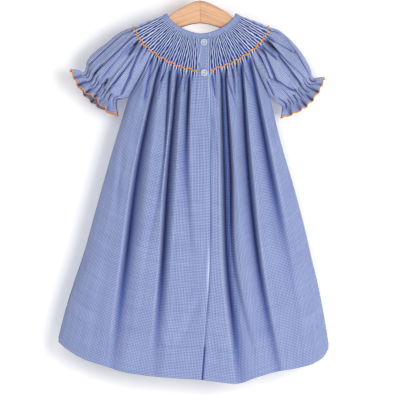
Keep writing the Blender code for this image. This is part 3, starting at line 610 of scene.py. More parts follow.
def valleys(x, z, folds):
    """Depth of the main folds: for each, its depth times e to the minus 1.7th power of the distance from its
    wandering line. A lean makes one flank steeper than the other. Also the painted shade of a fold's dark
    floor, which spreads up the gentle flank, the painted highlight on the rim of the steep one, and how near
    a place is to any fold at all."""
    total, floor, rim, near = (np.zeros_like(x) for _ in range(4))
    for k in range(len(folds["x1"])):
        place, depth, width = (
            through(FOLD_HEIGHTS[::-1], np.array([folds[f"{what}{n}"][k] for n in (4, 3, 2, 1)]), z)
            for what in ("x", "depth", "width")
        )
        above = (z - FOLD_HEIGHTS[0]) / (FOLD_TOP_Z - FOLD_HEIGHTS[0])
        place = place + (folds["top"][k] - folds["x1"][k]) * np.clip(above, 0, 1.3)
        lean = folds["lean"][k]
        away = (x - place) / (0.85 * width)
        warped = np.abs(away * (1 + 1.4 * lean * np.tanh(3 * away)))
        total += depth * (np.exp(-(warped**1.7)) - 0.08 * bell((warped - 2.1) / 0.6))
        steep = away * (1.0 if lean > 0 else -1.0)
        reach = mix(FLOOR_REACH["gentle"], FLOOR_REACH["steep"], smooth(2 * steep + 0.5))
        dark = smooth((depth - 2.5) / 13.5)
        # Painted shade on the fold's floor.
        floor = np.maximum(floor, dark * np.exp(-((np.abs(away) / reach) ** 1.6)))
        # Painted highlight on the rim of the fold's steep flank.
        rim = np.maximum(rim, dark * bell((steep - 1.35) / 0.4))
        near = np.maximum(near, smooth(depth / 8.0) * bell(away / 2.0))
    return total, floor, rim, near


# %% [markdown]
# ## Small creases
#
# Between the big folds run small ones: pulls below the smocking, and the crumple where cloth was folded.
# Each is a short line with a depth and a width. A place's distance from that line gives a groove, and a
# low ridge beside it catches the light, as a real crease does.

# %% Grooves along short lines
CREASE_COLUMNS = "x1 z1 x2 z2 depth width"
CREASES = {
    "back": table(CREASE_COLUMNS, [
        (-56.5, -160, -65, -200, 2.5, 1.8), (-94, -150, -110.5, -196, 3.2, 2),
        (-77.5, -154, -87.5, -208, 3, 3.6), (-23, -168, -24.5, -200, 3, 1.7), (18.6, -174, 23.7, -206, 3, 1.7),
        (52, -166, 55, -200, 3, 1.7), (59.2, -162, 62.5, -205, 2.8, 2), (78, -148, 84, -185, 2.6, 2.2),
        (19.2, -250, 26.5, -300, 2.2, 2.2), (19, -180, 21, -240, 1.3, 2.2), (8, -205, 9, -300, 1, 2.4),
        (12, -330, 16, -420, 1.4, 4), (-22, -420, -26, -500, 1.6, 5), (-98, -470, -112, -560, 1.4, 7),
        (-152, -480, -172, -590, 1.3, 9), (-58, -575, -46, -606, 1.6, 5), (-2, -536, -26, -596, 2, 6.5),
        (11, -545, 24, -618, 1.5, 4.5), (-139, -580, -143, -632, 2.2, 2.2), (-133, -578, -141, -606, 1.8, 1.8),
        (118, -420, 138, -530, 1.8, 6), (96, -560, 104, -640, 1.8, 6), (-124, -300, -132, -380, 1.8, 5),
    ]),
    "front": table(CREASE_COLUMNS, [
        (-70, -180, -74, -225, 2.8, 2.2), (-48, -190, -50, -235, 2.8, 2.2), (-20, -196, -22, -236, 2.6, 2),
        (8, -196, 9, -240, 2.6, 2), (36, -192, 40, -236, 2.8, 2.2), (66, -180, 72, -222, 2.8, 2.2),
        (-14, -330, -22, -420, 1.8, 4), (56, -380, 66, -470, 1.8, 5), (-112, -420, -122, -520, 2, 6),
        (14, -540, 18, -640, 2, 6), (108, -300, 118, -380, 1.8, 5),
    ]),
}


def grooves(x, z, lines):
    """Depth of short creases: a bell of the distance from each line, less a lower ridge beside it."""
    total = np.zeros_like(x)
    for x1, z1, x2, z2, depth, width in zip(*(lines[name] for name in CREASE_COLUMNS.split())):
        along = np.array([x2 - x1, z2 - z1])
        length = np.hypot(*along)
        along = along / length
        run = (x - x1) * along[0] + (z - z1) * along[1]
        beside = ((x - x1) * along[1] - (z - z1) * along[0]) / width
        past = np.maximum(np.maximum(-run, run - length), 0) / (0.25 * length)
        total += depth * bell(past) * (bell(beside) - 0.45 * bell(beside - 1.8))
    return total


# %% [markdown]
# A point of the skirt puts these together: the blended edges, the body's depth behind them, then the folds
# and creases pressed in. Its depth limits them, so that the back never meets the front.

# %% A point of the skirt
def skirt(row, across, face):
    """A point of the skirt, row 0 at the orange line and 1 at the hem: blended edges, then a rounded depth,
    less the folds, which a tanh keeps from meeting the other face. Also the painted shade in the folds and
    small creases, the painted highlight on the folds' rims, and how near the folds are."""
    row, across = np.broadcast_arrays(row, across)
    settled = smooth(row / UNDERARM_ROW)
    spread = across + COLUMN_CROWDING * settled * (np.sin(across * math.pi / 2) - across)
    top_x, top_z, top_depth = ring(1.0, spread * RAGLAN_SHARE, face)
    hem_left, hem_right = HEM["x"][0], HEM["x"][-1]
    hem_x = mix(hem_left, hem_right, (spread + 1) / 2)
    x = mix(top_x, hem_x, row)
    z = mix(top_z, through(HEM["x"], HEM["z"], hem_x), row)
    for side in (-1, 1):
        edge_x, edge_z = side_edge(row, side, face)
        end_x, end_z, _ = ring(1.0, side * RAGLAN_SHARE, face)
        corner_x = hem_left if side < 0 else hem_right
        corner_z = HEM_CORNER_Z[0 if side < 0 else 1]
        weight = (1 + side * spread) / 2
        x = x + weight * (edge_x - mix(end_x, corner_x, row))
        z = z + weight * (edge_z - mix(end_z, corner_z, row))
    left_x, _ = side_edge(row, -1, face)
    right_x, _ = side_edge(row, 1, face)
    to_side = np.clip(np.abs(2 * x - left_x - right_x) / (right_x - left_x), 0, 1)
    hanging = through(FULLNESS["row"], FULLNESS["depth"], row) * np.sqrt(1 - to_side**SIDE_ROUNDING)
    depth = mix(top_depth, hanging, settled)
    inside = smooth((depth - 4) / 14)
    begun = smooth(row / 0.035) * inside
    pressed, dark, rim, near = (value * begun for value in valleys(x, z, FOLDS[face]))
    room = np.maximum(depth - LEAST_DEPTH, 0)
    pressed = room * np.tanh(pressed / np.maximum(room, 1e-6))
    small = grooves(x, z, CREASES[face]) * smooth(row / 0.02) * inside * (1 - 0.7 * near)
    pressed = pressed + small
    # Painted shade in the small creases.
    dark = np.clip(dark + 0.6 * smooth((small - 1.4) / 1.8), 0, 1)
    if face == "front":
        z = z + FRONT_HEM_LIFT * smooth(row)
    return x, z, depth - pressed, dark, rim, near


print("folds:", {face: len(folds["x1"]) for face, folds in FOLDS.items()})

# %% [markdown]
# ## Pleats and gathers
#
# Each smocked pleat is a round ridge between sharp valleys: the absolute value of a sine, raised to a power
# below one. The stitches pull neighbouring pleats together in turn, so a pleat leans a little left and
# right on its way down. Below the orange line pairs of pleats open into gathers that soon fade.

# %% Relief of the smocking
BINDING_SHARE = 8.0 / 61.0
RIB_RISE = 3.2
RIB_SINK = 1.3
GATHER_DEPTH = 4.4
YOKE_LEVELS = np.linspace(BINDING_SHARE - 0.03, 1, 46)[:, None]
RAGLAN_STEPS = np.linspace(0, 1, 35)[1:, None]
SKIRT_ROWS = np.concatenate([RAGLAN_STEPS * UNDERARM_ROW, np.linspace(UNDERARM_ROW, 1, 146)[1:, None]])
UNDER_BINDING = mix(0.2, 1.0, smooth((YOKE_LEVELS - BINDING_SHARE) / 0.09))


def pleat_ridge(phase, level):
    """The absolute sine of the phase, softened, with a lean that changes sign from one ridge to the next."""
    lean = 0.10 * np.cos(math.pi * (phase - 0.5)) * np.cos(2 * math.pi * 4.5 * level)
    wander = 0.13 * np.sin(1.31 * phase + 3.0 * level) + 0.07 * np.sin(2.7 * phase - 9.0 * level)
    wander = wander * smooth(phase / 2)
    return np.abs(np.sin(math.pi * (phase + lean + wander))) ** 0.72


def pleat_floor(ridge):
    """How deep between two pleats a place is: where painted shade goes."""
    return smooth((0.97 - ridge) / 0.42)


def pleat_top(ridge):
    """How near the lit top of a ridge a place is: where painted highlights go."""
    return smooth((ridge - 0.86) / 0.12)


def gathers(phase, rows):
    """Depth of the gathers below the smocking, one valley for every two pleats, and the painted shade in
    their valleys. A valley is one less a root of the sine's size, so its floor comes to a point, and each has
    its own depth and length."""
    slant = phase + 0.12 * np.sin(phase * 0.9) * smooth(rows / 0.12)
    number = np.round(slant / 2)
    ridge = np.abs(np.sin(math.pi * slant / 2))
    depth = GATHER_DEPTH * (0.6 + 0.4 * np.sin(number * 2.39 + 1.0))
    length = 0.05 + 0.09 * (0.5 + 0.5 * np.sin(number * 4.1 + 2.0)) ** 1.5
    lasting = smooth(rows / 0.015) * np.clip(1 - (rows - 0.015) / (1.2 * length), 0, 1) ** 1.3
    # Painted shade in the gathers' valleys, stronger where a gather is deeper.
    dark = smooth((0.58 - ridge) / 0.50) * lasting * (0.35 + 0.6 * depth / GATHER_DEPTH)
    return depth * lasting * (1 - ridge**0.55), dark


def body_relief(phase, lower_rows, near_folds):
    """Height of pleats and gathers over the body, and for each place its painted shade in creases, its painted
    highlight on ridge tops and its painted shade in the smocked valleys. Gathers fade where a main fold has
    taken up their cloth."""
    ridge = pleat_ridge(phase, YOKE_LEVELS)
    pleated = smooth(phase / 0.35)
    yoke = (RIB_RISE * ridge - RIB_SINK) * pleated * UNDER_BINDING
    # Painted marks of the smocking: shade in the valleys, and a highlight on the tops that varies from place to
    # place and pales lower down.
    strength = mix(0.7, 1.0, smooth((YOKE_LEVELS - 0.1) / 0.4)) * pleated
    bright = 0.75 + 0.25 * np.sin(phase * 3.7 + 5.0 * YOKE_LEVELS)
    yoke_pleat_shade = pleat_floor(ridge) * strength
    paling = mix(1.0, 0.6, smooth((YOKE_LEVELS - 0.5) / 0.4))
    yoke_highlight = pleat_top(ridge) * paling * pleated * bright
    ridge = pleat_ridge(phase, 1.0)
    fading = 1 - smooth(lower_rows / 0.022)
    valley, gather_shade = (value * (1 - 0.85 * near_folds) for value in gathers(phase, lower_rows))
    ripple = 0.35 * np.sin(phase * 1.9 + lower_rows * 4.0) * np.sin(lower_rows * 7.0 + phase * 0.7)
    lower = (RIB_RISE * ridge - RIB_SINK) * fading * pleated - valley * pleated
    lower = lower + ripple * smooth(lower_rows / 0.1)
    # Painted shade in the valleys below the smocking and in the gathers, and a painted highlight on the ridges.
    lower_shade = smooth((0.90 - ridge) / 0.45) * fading * pleated + gather_shade * pleated
    lower_highlight = pleat_top(ridge) * fading * pleated * 0.6
    return (
        np.concatenate([yoke, lower]),
        np.concatenate([0.25 * yoke_pleat_shade, lower_shade]),
        np.concatenate([yoke_highlight, lower_highlight]),
        np.concatenate([yoke_pleat_shade, 0 * lower_shade]),
    )


# %% [markdown]
# Relief raises each point the way that the cloth faces there, which the grid's own neighbours give. The
# check has to be drawn on the cloth laid flat, so each step between points is measured and added up.

# %% Facing directions, and the cloth laid flat
def facings(points, column, towards):
    """Unit normals of a grid, the cross product of its two directions, turned to look outwards."""
    normal = unit(np.cross(np.gradient(points, axis=1), np.gradient(points, axis=0)))
    return normal if (normal[:, column] @ np.array(towards)).sum() > 0 else -normal


def above_edge(points):
    """How far up its column each point lies above the grid's lower edge."""
    rise = np.linalg.norm(np.diff(points, axis=0), axis=-1)
    return np.cumsum(np.pad(rise[::-1], ((1, 0), (0, 0))), axis=0)[::-1]


def laid_flat(points, squeeze, width):
    """The cut cloth's own places. Along a row each step's length is added up, and the spare width goes where
    the cloth is squeezed; down a column the steps are added from the lower edge."""
    step = np.linalg.norm(np.diff(points, axis=1), axis=-1)
    weight = step * (squeeze[:, 1:] + squeeze[:, :-1] + 0.06)
    spare = np.maximum(width - step.sum(axis=1, keepdims=True), 0)
    step = step + weight * spare / weight.sum(axis=1, keepdims=True)
    u = np.cumsum(np.pad(step, ((0, 0), (1, 0))), axis=1)
    return np.stack([u, above_edge(points)], axis=-1)


def to_edges(columns, margin):
    """How near each column is to a side edge of its panel: 1 on the edge and 0 from margin columns in."""
    place = np.arange(columns)
    return 1 - smooth(np.minimum(place, columns - 1 - place) / margin)


# %% [markdown]
# ## Cutting the body
#
# The dress opens down its back, so there are two back panels and one front. Each column of points keeps to
# its pleat from the neck to the hem. The left back has a plain strip for the buttonholes beside its edge,
# and the right back runs on under it, so that no gap shows between them.

# %% Columns of each panel
RIBS = {"back_left": 19, "back_right": 16, "front": 38, "half_sleeve": 11}
SEAM_TOP_X = 14.4
SEAM_HEM_X = 2.2
STRIP_WIDTH_YOKE = 16.5
STRIP_WIDTH_HEM = 26.0
PER_RIB = {"back_left": 9, "back_right": 9, "front": 5}
LAP_MM = 7.0
LAP_COLUMNS = 12
RIM_LIGHT = 0.15
CLOTH_THICK = 0.5
SEAM_THICK = 1.4
HEM_DEPTH = 54.0
SLIT_TOP_Z = -612.0
BUTTONED_Z = -185.0
GLINTS_Z = (-487.0, -195.0)


def opening_edge(rows, in_yoke):
    """Where the back opening's edge lies across the back, and how wide the plain strip beside it is."""
    if in_yoke:
        arc = mix(*YOKE["arc_back"], rows)
        return (SEAM_TOP_X - YOKE_CENTRE_X) / arc / RAGLAN_SHARE, STRIP_WIDTH_YOKE / arc / RAGLAN_SHARE
    top = (SEAM_TOP_X - YOKE_CENTRE_X) / YOKE["arc_back"][1] / RAGLAN_SHARE
    hem_half = (HEM["x"][-1] - HEM["x"][0]) / 2
    hem = (SEAM_HEM_X - (HEM["x"][-1] + HEM["x"][0]) / 2) / hem_half / (1 + COLUMN_CROWDING * 0.5)
    strip_top = STRIP_WIDTH_YOKE / YOKE["arc_back"][1] / RAGLAN_SHARE
    return mix(top, hem, rows), mix(strip_top, STRIP_WIDTH_HEM / hem_half, rows)


def columns_of(name, rows, in_yoke):
    """The places across for every column of a panel, at each of the rows."""
    ribs = RIBS[name]
    share = np.linspace(0, 1, ribs * PER_RIB[name] + 1)[None]
    if name == "front":
        return mix(-1.0, 1.0, share) + 0 * rows
    edge, width = opening_edge(rows, in_yoke)
    side = -1 if name == "back_left" else 1
    beside = np.linspace(0, 1, LAP_COLUMNS + 1)[None]
    if side < 0:
        plain = edge - width
        return np.concatenate([mix(edge, plain, beside[:, :-1]), mix(plain, -1.0, share)], axis=1)
    lap = width * LAP_MM / STRIP_WIDTH_YOKE
    return np.concatenate([mix(edge - lap, edge, beside[:, :-1]), mix(edge, 1.0, share)], axis=1)


print("columns across each panel:", {name: columns_of(name, 0.5, False).size for name in PER_RIB})

# %% [markdown]
# A maker pleats the cloth, stitches it and turns up the hem. In the same order, each panel here gets its
# form, its pleats and gathers, its sewn-down edges and hem, and last its thickness.

# %% Cut the body's panels
def finish_panel(name, base, relief, normal, thick, cut_width, finish, crease, crown, pleat):
    """A cut piece: its form raised by the relief, a wall inwards from that, and the cloth's own places."""
    outer = base + relief[..., None] * normal
    inner = outer - (thick + 0 * relief)[..., None] * normal
    crease = np.clip(crease, 0, 1)
    flat = laid_flat(outer, crease, cut_width)
    made = cloth_wall(name + "_cloth", outer, inner, flat, crease, finish, crown, pleat)
    return {"name": made.name, "outer": outer, "normal": normal, "flat": flat}


def cut_body(name, face, cut_width):
    """A body panel from the neck to the hem, as an outer and an inner grid with the cloth's own places."""
    yoke_across = columns_of(name, YOKE_LEVELS, True)
    lower_across = columns_of(name, SKIRT_ROWS, False)
    yoke = pack(*ring(YOKE_LEVELS, yoke_across * RAGLAN_SHARE, face), face)
    x, z, depth, dark, rim, near = skirt(SKIRT_ROWS, lower_across, face)
    base = np.concatenate([yoke, pack(x, z, depth, face)])
    rows, columns = base.shape[:2]
    extra = columns - (RIBS[name] * PER_RIB[name] + 1)
    phase = (np.maximum(np.arange(columns) - extra, 0) / PER_RIB[name])[None]
    relief, crease, crown, pleat = body_relief(phase, SKIRT_ROWS, near)
    # Painted highlight on the lit rims of the skirt's folds.
    crown = crown + RIM_LIGHT * np.concatenate([np.zeros(yoke.shape[:2]), rim])
    normal = facings(base, columns // 2, (0, 1 if face == "front" else -1, 0))
    relief = relief * (1 - to_edges(columns, 3))[None]
    relief = relief - 0.5 * to_edges(columns, 2)[None]
    height = base[..., 2]
    slit = 1 - smooth((height - SLIT_TOP_Z) / 8.0)
    if name == "back_right":
        beyond = (extra - np.arange(columns)) * LAP_MM / LAP_COLUMNS
        relief = relief - (2.2 + 0.6 * slit) * smooth((beyond + 1.6) / 2.4)[None]
        # Painted shadow where the left back's edge lies over the right back: dark beside the buttonhole strip,
        # faint below it, and dark again in the slit.
        seam_shadow = 0.22 + 0.7 * smooth((height - BUTTONED_Z) / 12.0)
        crease = np.maximum(crease, mix(seam_shadow, 0.8, slit) * bell((beyond + 0.4) / 0.7)[None])
    if name == "back_left":
        # Painted glints along the opening's edge at two heights, none in the slit.
        glint = bell((height - GLINTS_Z[0]) / 30.0) + 0.55 * bell((height - GLINTS_Z[1]) / 25.0) + 0.12
        relief = relief + 0.4 * bell((np.arange(columns) - 0.8) / 1.1)[None]
        crown = np.maximum(crown, glint * (1 - slit) * bell((np.arange(columns) - 0.3) / 0.6)[None])
    from_hem = above_edge(base)
    relief = relief - 0.7 * bell((from_hem - HEM_DEPTH) / 1.6)
    thick = CLOTH_THICK + SEAM_THICK * to_edges(columns, 5)[None] + 0.5 * (from_hem < HEM_DEPTH)
    # Painted shade in the floors of the folds and in the small creases.
    crease = crease + 0.92 * np.concatenate([np.zeros(yoke.shape[:2]), dark])
    return finish_panel(name, base, relief, normal, thick, cut_width, cotton, crease, crown, pleat)


panels = {
    "back_left": cut_body("back_left", "back", 250.0),
    "back_right": cut_body("back_right", "back", 215.0),
    "front": cut_body("front", "front", 465.0),
}

# %% [markdown]
# ## Puffed sleeves
#
# A raglan sleeve joins the yoke's ring, so its upper end is smocked with the rest. Then it swells, is drawn
# in by elastic above its end, and flares into a ruffle. Each half goes from its seam over to the shoulder's
# fold. Its outline is held by two edges, and a puff, the square root of a parabola, rounds it out.

# %% A point of a sleeve
SLEEVE_UNDERARM_ROW = 0.8
SLEEVE_OVER = {
    -1: table("row x z", [
        (0, -106.2, -98.4), (0.16, -118.4, -101.9), (0.34, -132.8, -109.3), (0.54, -147.5, -121.6),
        (0.74, -165, -134.8), (0.88, -176.9, -146.2), (0.96, -183, -157.2), (1, -185.9, -165.6),
        (1.12, -194.5, -165.4), (1.3, -207.2, -163.6),
    ]),
    1: table("row x z", [
        (0, 110.2, -98.4), (0.18, 124.8, -102.6), (0.34, 136, -110.9), (0.56, 153.1, -127.6),
        (0.78, 168.9, -149.5), (0.9, 175.8, -162.8), (1, 180.8, -176.5), (1.12, 188, -177.4),
        (1.3, 199.4, -176.5),
    ]),
}
SLEEVE_UNDER = {
    -1: table("row x z", [
        (0.8, -115.2, -211.7), (0.9, -123.5, -214.2), (1, -131.2, -215.6), (1.12, -132.2, -227),
        (1.3, -130.2, -240.3),
    ]),
    1: table("row x z", [
        (0.8, 112.8, -211.7), (0.9, 120.5, -218.6), (1, 129.6, -224.1), (1.12, 130.2, -233),
        (1.3, 128.4, -243.4),
    ]),
}
PUFF = table("row depth bulge", [
    (0, 0, 0), (0.2, 10, 0), (0.5, 21, 0), (0.8, 25, 3), (0.93, 21, 6), (1, 14, 4), (1.1, 16, 7),
    (1.3, 21, 15),
])
SLEEVE_FOLD_DEPTH = 3.0


def sleeve(row, share, side, face):
    """A point of half a sleeve: a straight line between its two edges, plus the ring's own curve near the
    yoke, pushed out by the bulge, with a depth that falls from the ring's and swells as the puff does."""
    row, share = np.broadcast_arrays(row, share)
    over, under = SLEEVE_OVER[side], SLEEVE_UNDER[side]
    line_x, line_z, line_depth = ring(1.0, side * mix(RAGLAN_SHARE, 1.0, share), face)
    first_x, first_z, first_depth = ring(1.0, side * RAGLAN_SHARE, face)
    last_x, last_z, _ = ring(1.0, side * 1.0, face)
    top_x, top_z = (through(over["row"], over[axis], row) for axis in ("x", "z"))
    seam_x, seam_z, seam_depth = raglan(np.minimum(row / SLEEVE_UNDERARM_ROW, 1.0), side, face)
    below = row > SLEEVE_UNDERARM_ROW
    seam_x = np.where(below, through(under["row"], under["x"], row), seam_x)
    seam_z = np.where(below, through(under["row"], under["z"], row), seam_z)
    keep = 1 - smooth(row / 0.7)
    reach = np.hypot(top_z - seam_z, top_x - seam_x)
    bulge = through(PUFF["row"], PUFF["bulge"], row) * 4 * share * (1 - share) * side / reach
    x = mix(seam_x, top_x, share) + keep * (line_x - mix(first_x, last_x, share)) + bulge * (top_z - seam_z)
    z = mix(seam_z, top_z, share) + keep * (line_z - mix(first_z, last_z, share)) + bulge * (seam_x - top_x)
    power = mix(1.0, 0.5, smooth(row / SLEEVE_UNDERARM_ROW))
    puffed = through(PUFF["row"], PUFF["depth"], row) * (4 * share * (1 - share)) ** power
    soft = SLEEVE_FOLD_DEPTH * np.cos(6 * math.pi * share) * np.sin(math.pi * share)
    puffed = puffed + soft * smooth(row / 0.3) * (1 - smooth((row - 0.85) / 0.15))
    return x, z, seam_depth * line_depth / first_depth + puffed


# %% [markdown]
# Creases run over a sleeve from the yoke towards the elastic. They are short lines again, as on the skirt,
# with one table for each half of each sleeve.

# %% Folds of the sleeves
SLEEVE_CREASES = {
    (-1, "back"): table(CREASE_COLUMNS, [
        (-96.8, -118, -111.2, -139.5, 3.6, 2.6), (-91.2, -129.4, -108.4, -168, 4.2, 3),
        (-118.4, -102.2, -180, -160, 2.2, 2.4), (-105.6, -110.9, -165, -168, 2.4, 2.6),
        (-112, -128, -152, -176, 2, 3), (-108, -150, -134, -186, 3, 3),
        (-149.8, -183.7, -156.8, -198, 3.4, 2.4), (-128, -176, -146, -200, 2.6, 2.6),
        (-112, -180, -124, -204, 3, 3), (-160, -160, -176, -182, 2.6, 2.4),
    ]),
    (-1, "front"): table(CREASE_COLUMNS, [
        (-104, -116, -158, -164, 3.6, 2.8), (-100, -130, -142, -180, 3.8, 3), (-104, -150, -126, -190, 3.2, 3),
        (-124, -108, -176, -160, 3, 2.6), (-136, -170, -152, -196, 3, 2.6),
    ]),
    (1, "back"): table(CREASE_COLUMNS, [
        (105.6, -121, 121, -137, 4.2, 2.4), (100.3, -129.3, 120, -148, 3, 2.4),
        (91.2, -129.3, 101.8, -140.8, 3.6, 2.6), (101.8, -140.8, 116, -176, 4, 3.2),
        (119.8, -105.1, 133, -110, 4.2, 2), (133, -110, 152.5, -137.8, 5, 2.2),
        (152.5, -137.8, 174, -172, 5, 2.2), (112, -118, 147, -138, 3.4, 1.8), (116, -132, 160, -173, 3.2, 1.8),
        (110, -124.8, 147.5, -175.4, 3.4, 2.8), (147.5, -175.4, 160.6, -191.7, 3, 2.4),
        (119.8, -185.2, 152.5, -201.5, 3.2, 2.6), (106.7, -188.5, 114.9, -206.4, 3.2, 2.8),
        (96, -146, 110, -178, 2.8, 2.6),
    ]),
    (1, "front"): table(CREASE_COLUMNS, [
        (106, -118, 160, -172, 3.6, 2.8), (100, -132, 142, -186, 3.8, 3), (104, -152, 124, -196, 3.2, 3),
        (124, -110, 170, -164, 3, 2.6), (134, -178, 152, -204, 3, 2.6),
    ]),
}

# %% [markdown]
# The elastic's gathers are the pleats' ridges again, strongest on the elastic's line, and the ruffle is a
# slower wave that grows towards its edge. Both come from the same phase, so the pleats run on into them.

# %% Cut the sleeves
ELASTIC_GATHER = 4.2
RUFFLE_WAVE = 9.0
RUFFLE_TURNED_BACK = 0.10
LOWER_ROWS = np.linspace(SLEEVE_UNDERARM_ROW, 1.3, 50)[1:, None]
SLEEVE_ROWS = np.concatenate([RAGLAN_STEPS * SLEEVE_UNDERARM_ROW, LOWER_ROWS])
PER_SLEEVE_RIB = 14


def cut_sleeve(name, side, cut_width):
    """A whole sleeve from the neck to the ruffle, from its back seam over the shoulder to its front seam."""
    half = RIBS["half_sleeve"] * PER_SLEEVE_RIB
    share = np.linspace(0, 1, half + 1)[None]
    across = side * mix(RAGLAN_SHARE, 1.0, share)
    halves, dents = [], []
    for face in ("back", "front"):
        yoke = pack(*ring(YOKE_LEVELS, across, face), face)
        rows = SLEEVE_ROWS + 0 * share
        if (side, face) == (-1, "back"):
            rows = rows - RUFFLE_TURNED_BACK * bell((share - 0.42) / 0.2) * smooth((rows - 1.08) / 0.22)
        x, z, depth = sleeve(rows, share, side, face)
        body = smooth(SLEEVE_ROWS / 0.06) * (1 - 0.8 * smooth((SLEEVE_ROWS - 0.94) / 0.05))
        lines = SLEEVE_CREASES[side, face] | {"width": 0.75 * SLEEVE_CREASES[side, face]["width"]}
        dent = 1.35 * grooves(x, z, lines) * body * smooth(4 * share * (1 - share) * 3)
        halves.append(np.concatenate([yoke, pack(x, z, depth, face)]))
        dents.append(np.concatenate([np.zeros(yoke.shape[:2]), dent]))
    base, dent = (np.concatenate([back, front[:, -2::-1]], axis=1) for back, front in (halves, dents))
    columns = base.shape[1]
    place = np.concatenate([np.arange(half + 1), np.arange(half - 1, -1, -1)])
    phase = (place / PER_SLEEVE_RIB)[None]
    ridge = pleat_ridge(phase, np.concatenate([YOKE_LEVELS, 1.0 + 0 * SLEEVE_ROWS]))
    pleated = np.concatenate([UNDER_BINDING, 1 - smooth(SLEEVE_ROWS / 0.07)])
    relief = (RIB_RISE * ridge - RIB_SINK) * pleated
    drift = 0.6 * np.sin(phase * 2.1 + side)
    reach = 0.16 + 0.10 * np.sin(np.round(phase + drift / math.pi) * 2.7)
    drawn = smooth((SLEEVE_ROWS - 1.0 + reach) / reach) * (1 - smooth((SLEEVE_ROWS - 1.03) / 0.16))
    tuck = np.abs(np.sin(math.pi * phase + drift)) ** 0.6 - 1.0
    wave = np.cos(1.25 * math.pi * phase + 0.5 * np.sin(phase * 1.3))
    wave = wave + 0.3 * np.sin(2.2 * math.pi * phase + 1.0)
    grown = smooth((SLEEVE_ROWS - 1.0) / 0.24)
    opened, opened_shade = gathers(phase, SLEEVE_ROWS * 0.26)
    lower = ELASTIC_GATHER * tuck * drawn - RUFFLE_WAVE / 2 * wave * grown - 0.8 * opened
    none = np.zeros((len(YOKE_LEVELS), columns))
    relief = (relief + np.concatenate([none, lower])) * (1 - to_edges(columns, 4))[None] - dent
    relief = relief - 0.4 * to_edges(columns, 2)[None]
    normal = facings(base, half // 2, (0, -1, 0))
    thick = CLOTH_THICK + SEAM_THICK * to_edges(columns, 6)[None]
    # Painted shade in the smocked valleys and a painted highlight on their tops, both weaker over the
    # shoulder's fold.
    turned_over = 1 - 0.8 * bell((place - half) / (1.2 * PER_SLEEVE_RIB))[None]
    pleat = pleat_floor(ridge) * pleated * turned_over
    crown = pleat_top(ridge) * pleated * (0.75 + 0.25 * np.sin(phase * 3.7)) * turned_over
    # Painted shade in the ruffle's flutes, in the elastic's gathers, in the opened gathers and in the sleeve's
    # creases.
    flute_shade = 0.75 * smooth((wave - 0.25) / 0.9) * grown
    lower_sleeve_shade = 0.9 * smooth((-0.35 - tuck) / 0.45) * drawn + flute_shade + 0.8 * opened_shade
    crease = 0.25 * pleat + 0.55 * smooth((dent - 0.8) / 2.6) + np.concatenate([none, lower_sleeve_shade])
    return finish_panel(name, base, relief, normal, thick, cut_width, sleeve_cotton, crease, crown, pleat)


panels["sleeve_left"] = cut_sleeve("sleeve_left", -1, 230.0)
panels["sleeve_right"] = cut_sleeve("sleeve_right", 1, 230.0)

# %% [markdown]
# ## The neck binding
#
# A strip cut on the bias is folded over the raw neck edge and stitched down. Here it is a band whose raised
# section is a low arch: the outer face swells by a sine and turns over at both edges.

# %% Bind the neck
BINDING_RAISED = 0.7
BINDING_THICK = 2.4


def ring_path(levels, face, start, end, count):
    """Points of the ring between two places across, for each level."""
    return pack(*ring(levels, np.linspace(start, end, count)[None], face), face)


def round_the_neck(levels, first, last):
    """Points from a place on the back, leftwards over the shoulder, along the front and back to the right."""
    left = ring_path(levels, "back", first, -1.0, 150)
    front = ring_path(levels, "front", -1.0, 1.0, 360)[:, 1:-1]
    right = ring_path(levels, "back", 1.0, last, 120)
    return np.concatenate([left, front, right], axis=1)


def bind_neck():
    """The band's outer and inner grids: levels from the neck to the smocking, moved out by its arch."""
    turn = np.linspace(0, 1, 15)[:, None]
    levels = BINDING_SHARE * (0.5 - 0.5 * np.cos(math.pi * turn))
    edge = (SEAM_TOP_X - YOKE_CENTRE_X) / YOKE["arc_back"][0]
    base = round_the_neck(levels, edge, edge + 0.006)
    normal = facings(base, 30, (0, -1, 0))
    arch = np.sqrt(np.clip(1 - (2 * turn - 1) ** 2, 0, 1))
    columns = np.arange(base.shape[1])[None]
    pucker = 0.12 * np.sin(columns * 0.9) * turn**2
    outer = base + (mix(-0.5, BINDING_RAISED + 0.5, arch) + pucker)[..., None] * normal
    inner = base - (BINDING_THICK - BINDING_RAISED - 0.2 + 0 * pucker)[..., None] * normal
    flat = laid_flat(outer, 1 + 0 * pucker, 0.0)
    # Painted shade where the band's arch turns over at its two edges.
    crease = 0.35 * (1 - arch) + 0 * pucker
    made = cloth_wall("neck_binding_cloth", outer, inner, flat, crease, bias_cotton)
    return made, outer, normal


binding, binding_outer, binding_normal = bind_neck()


# %% [markdown]
# ## The buttonhole strip
#
# A folded strip lies over the left back's edge and ends in a slant below the smocking. It is worked out
# from the back's own rows, so it bends with the cloth, and lies a little above it.

# %% Lay the strip
LAY_GAP = 0.3
PLACKET_THICK = 1.0
PLACKET_TOP = BINDING_SHARE + 0.02
PLACKET_ENDS = (1.18, 0.76)
PLACKET_WIDENING = (0.74, 1.05)
ROWS_PER_LEVEL = 0.125


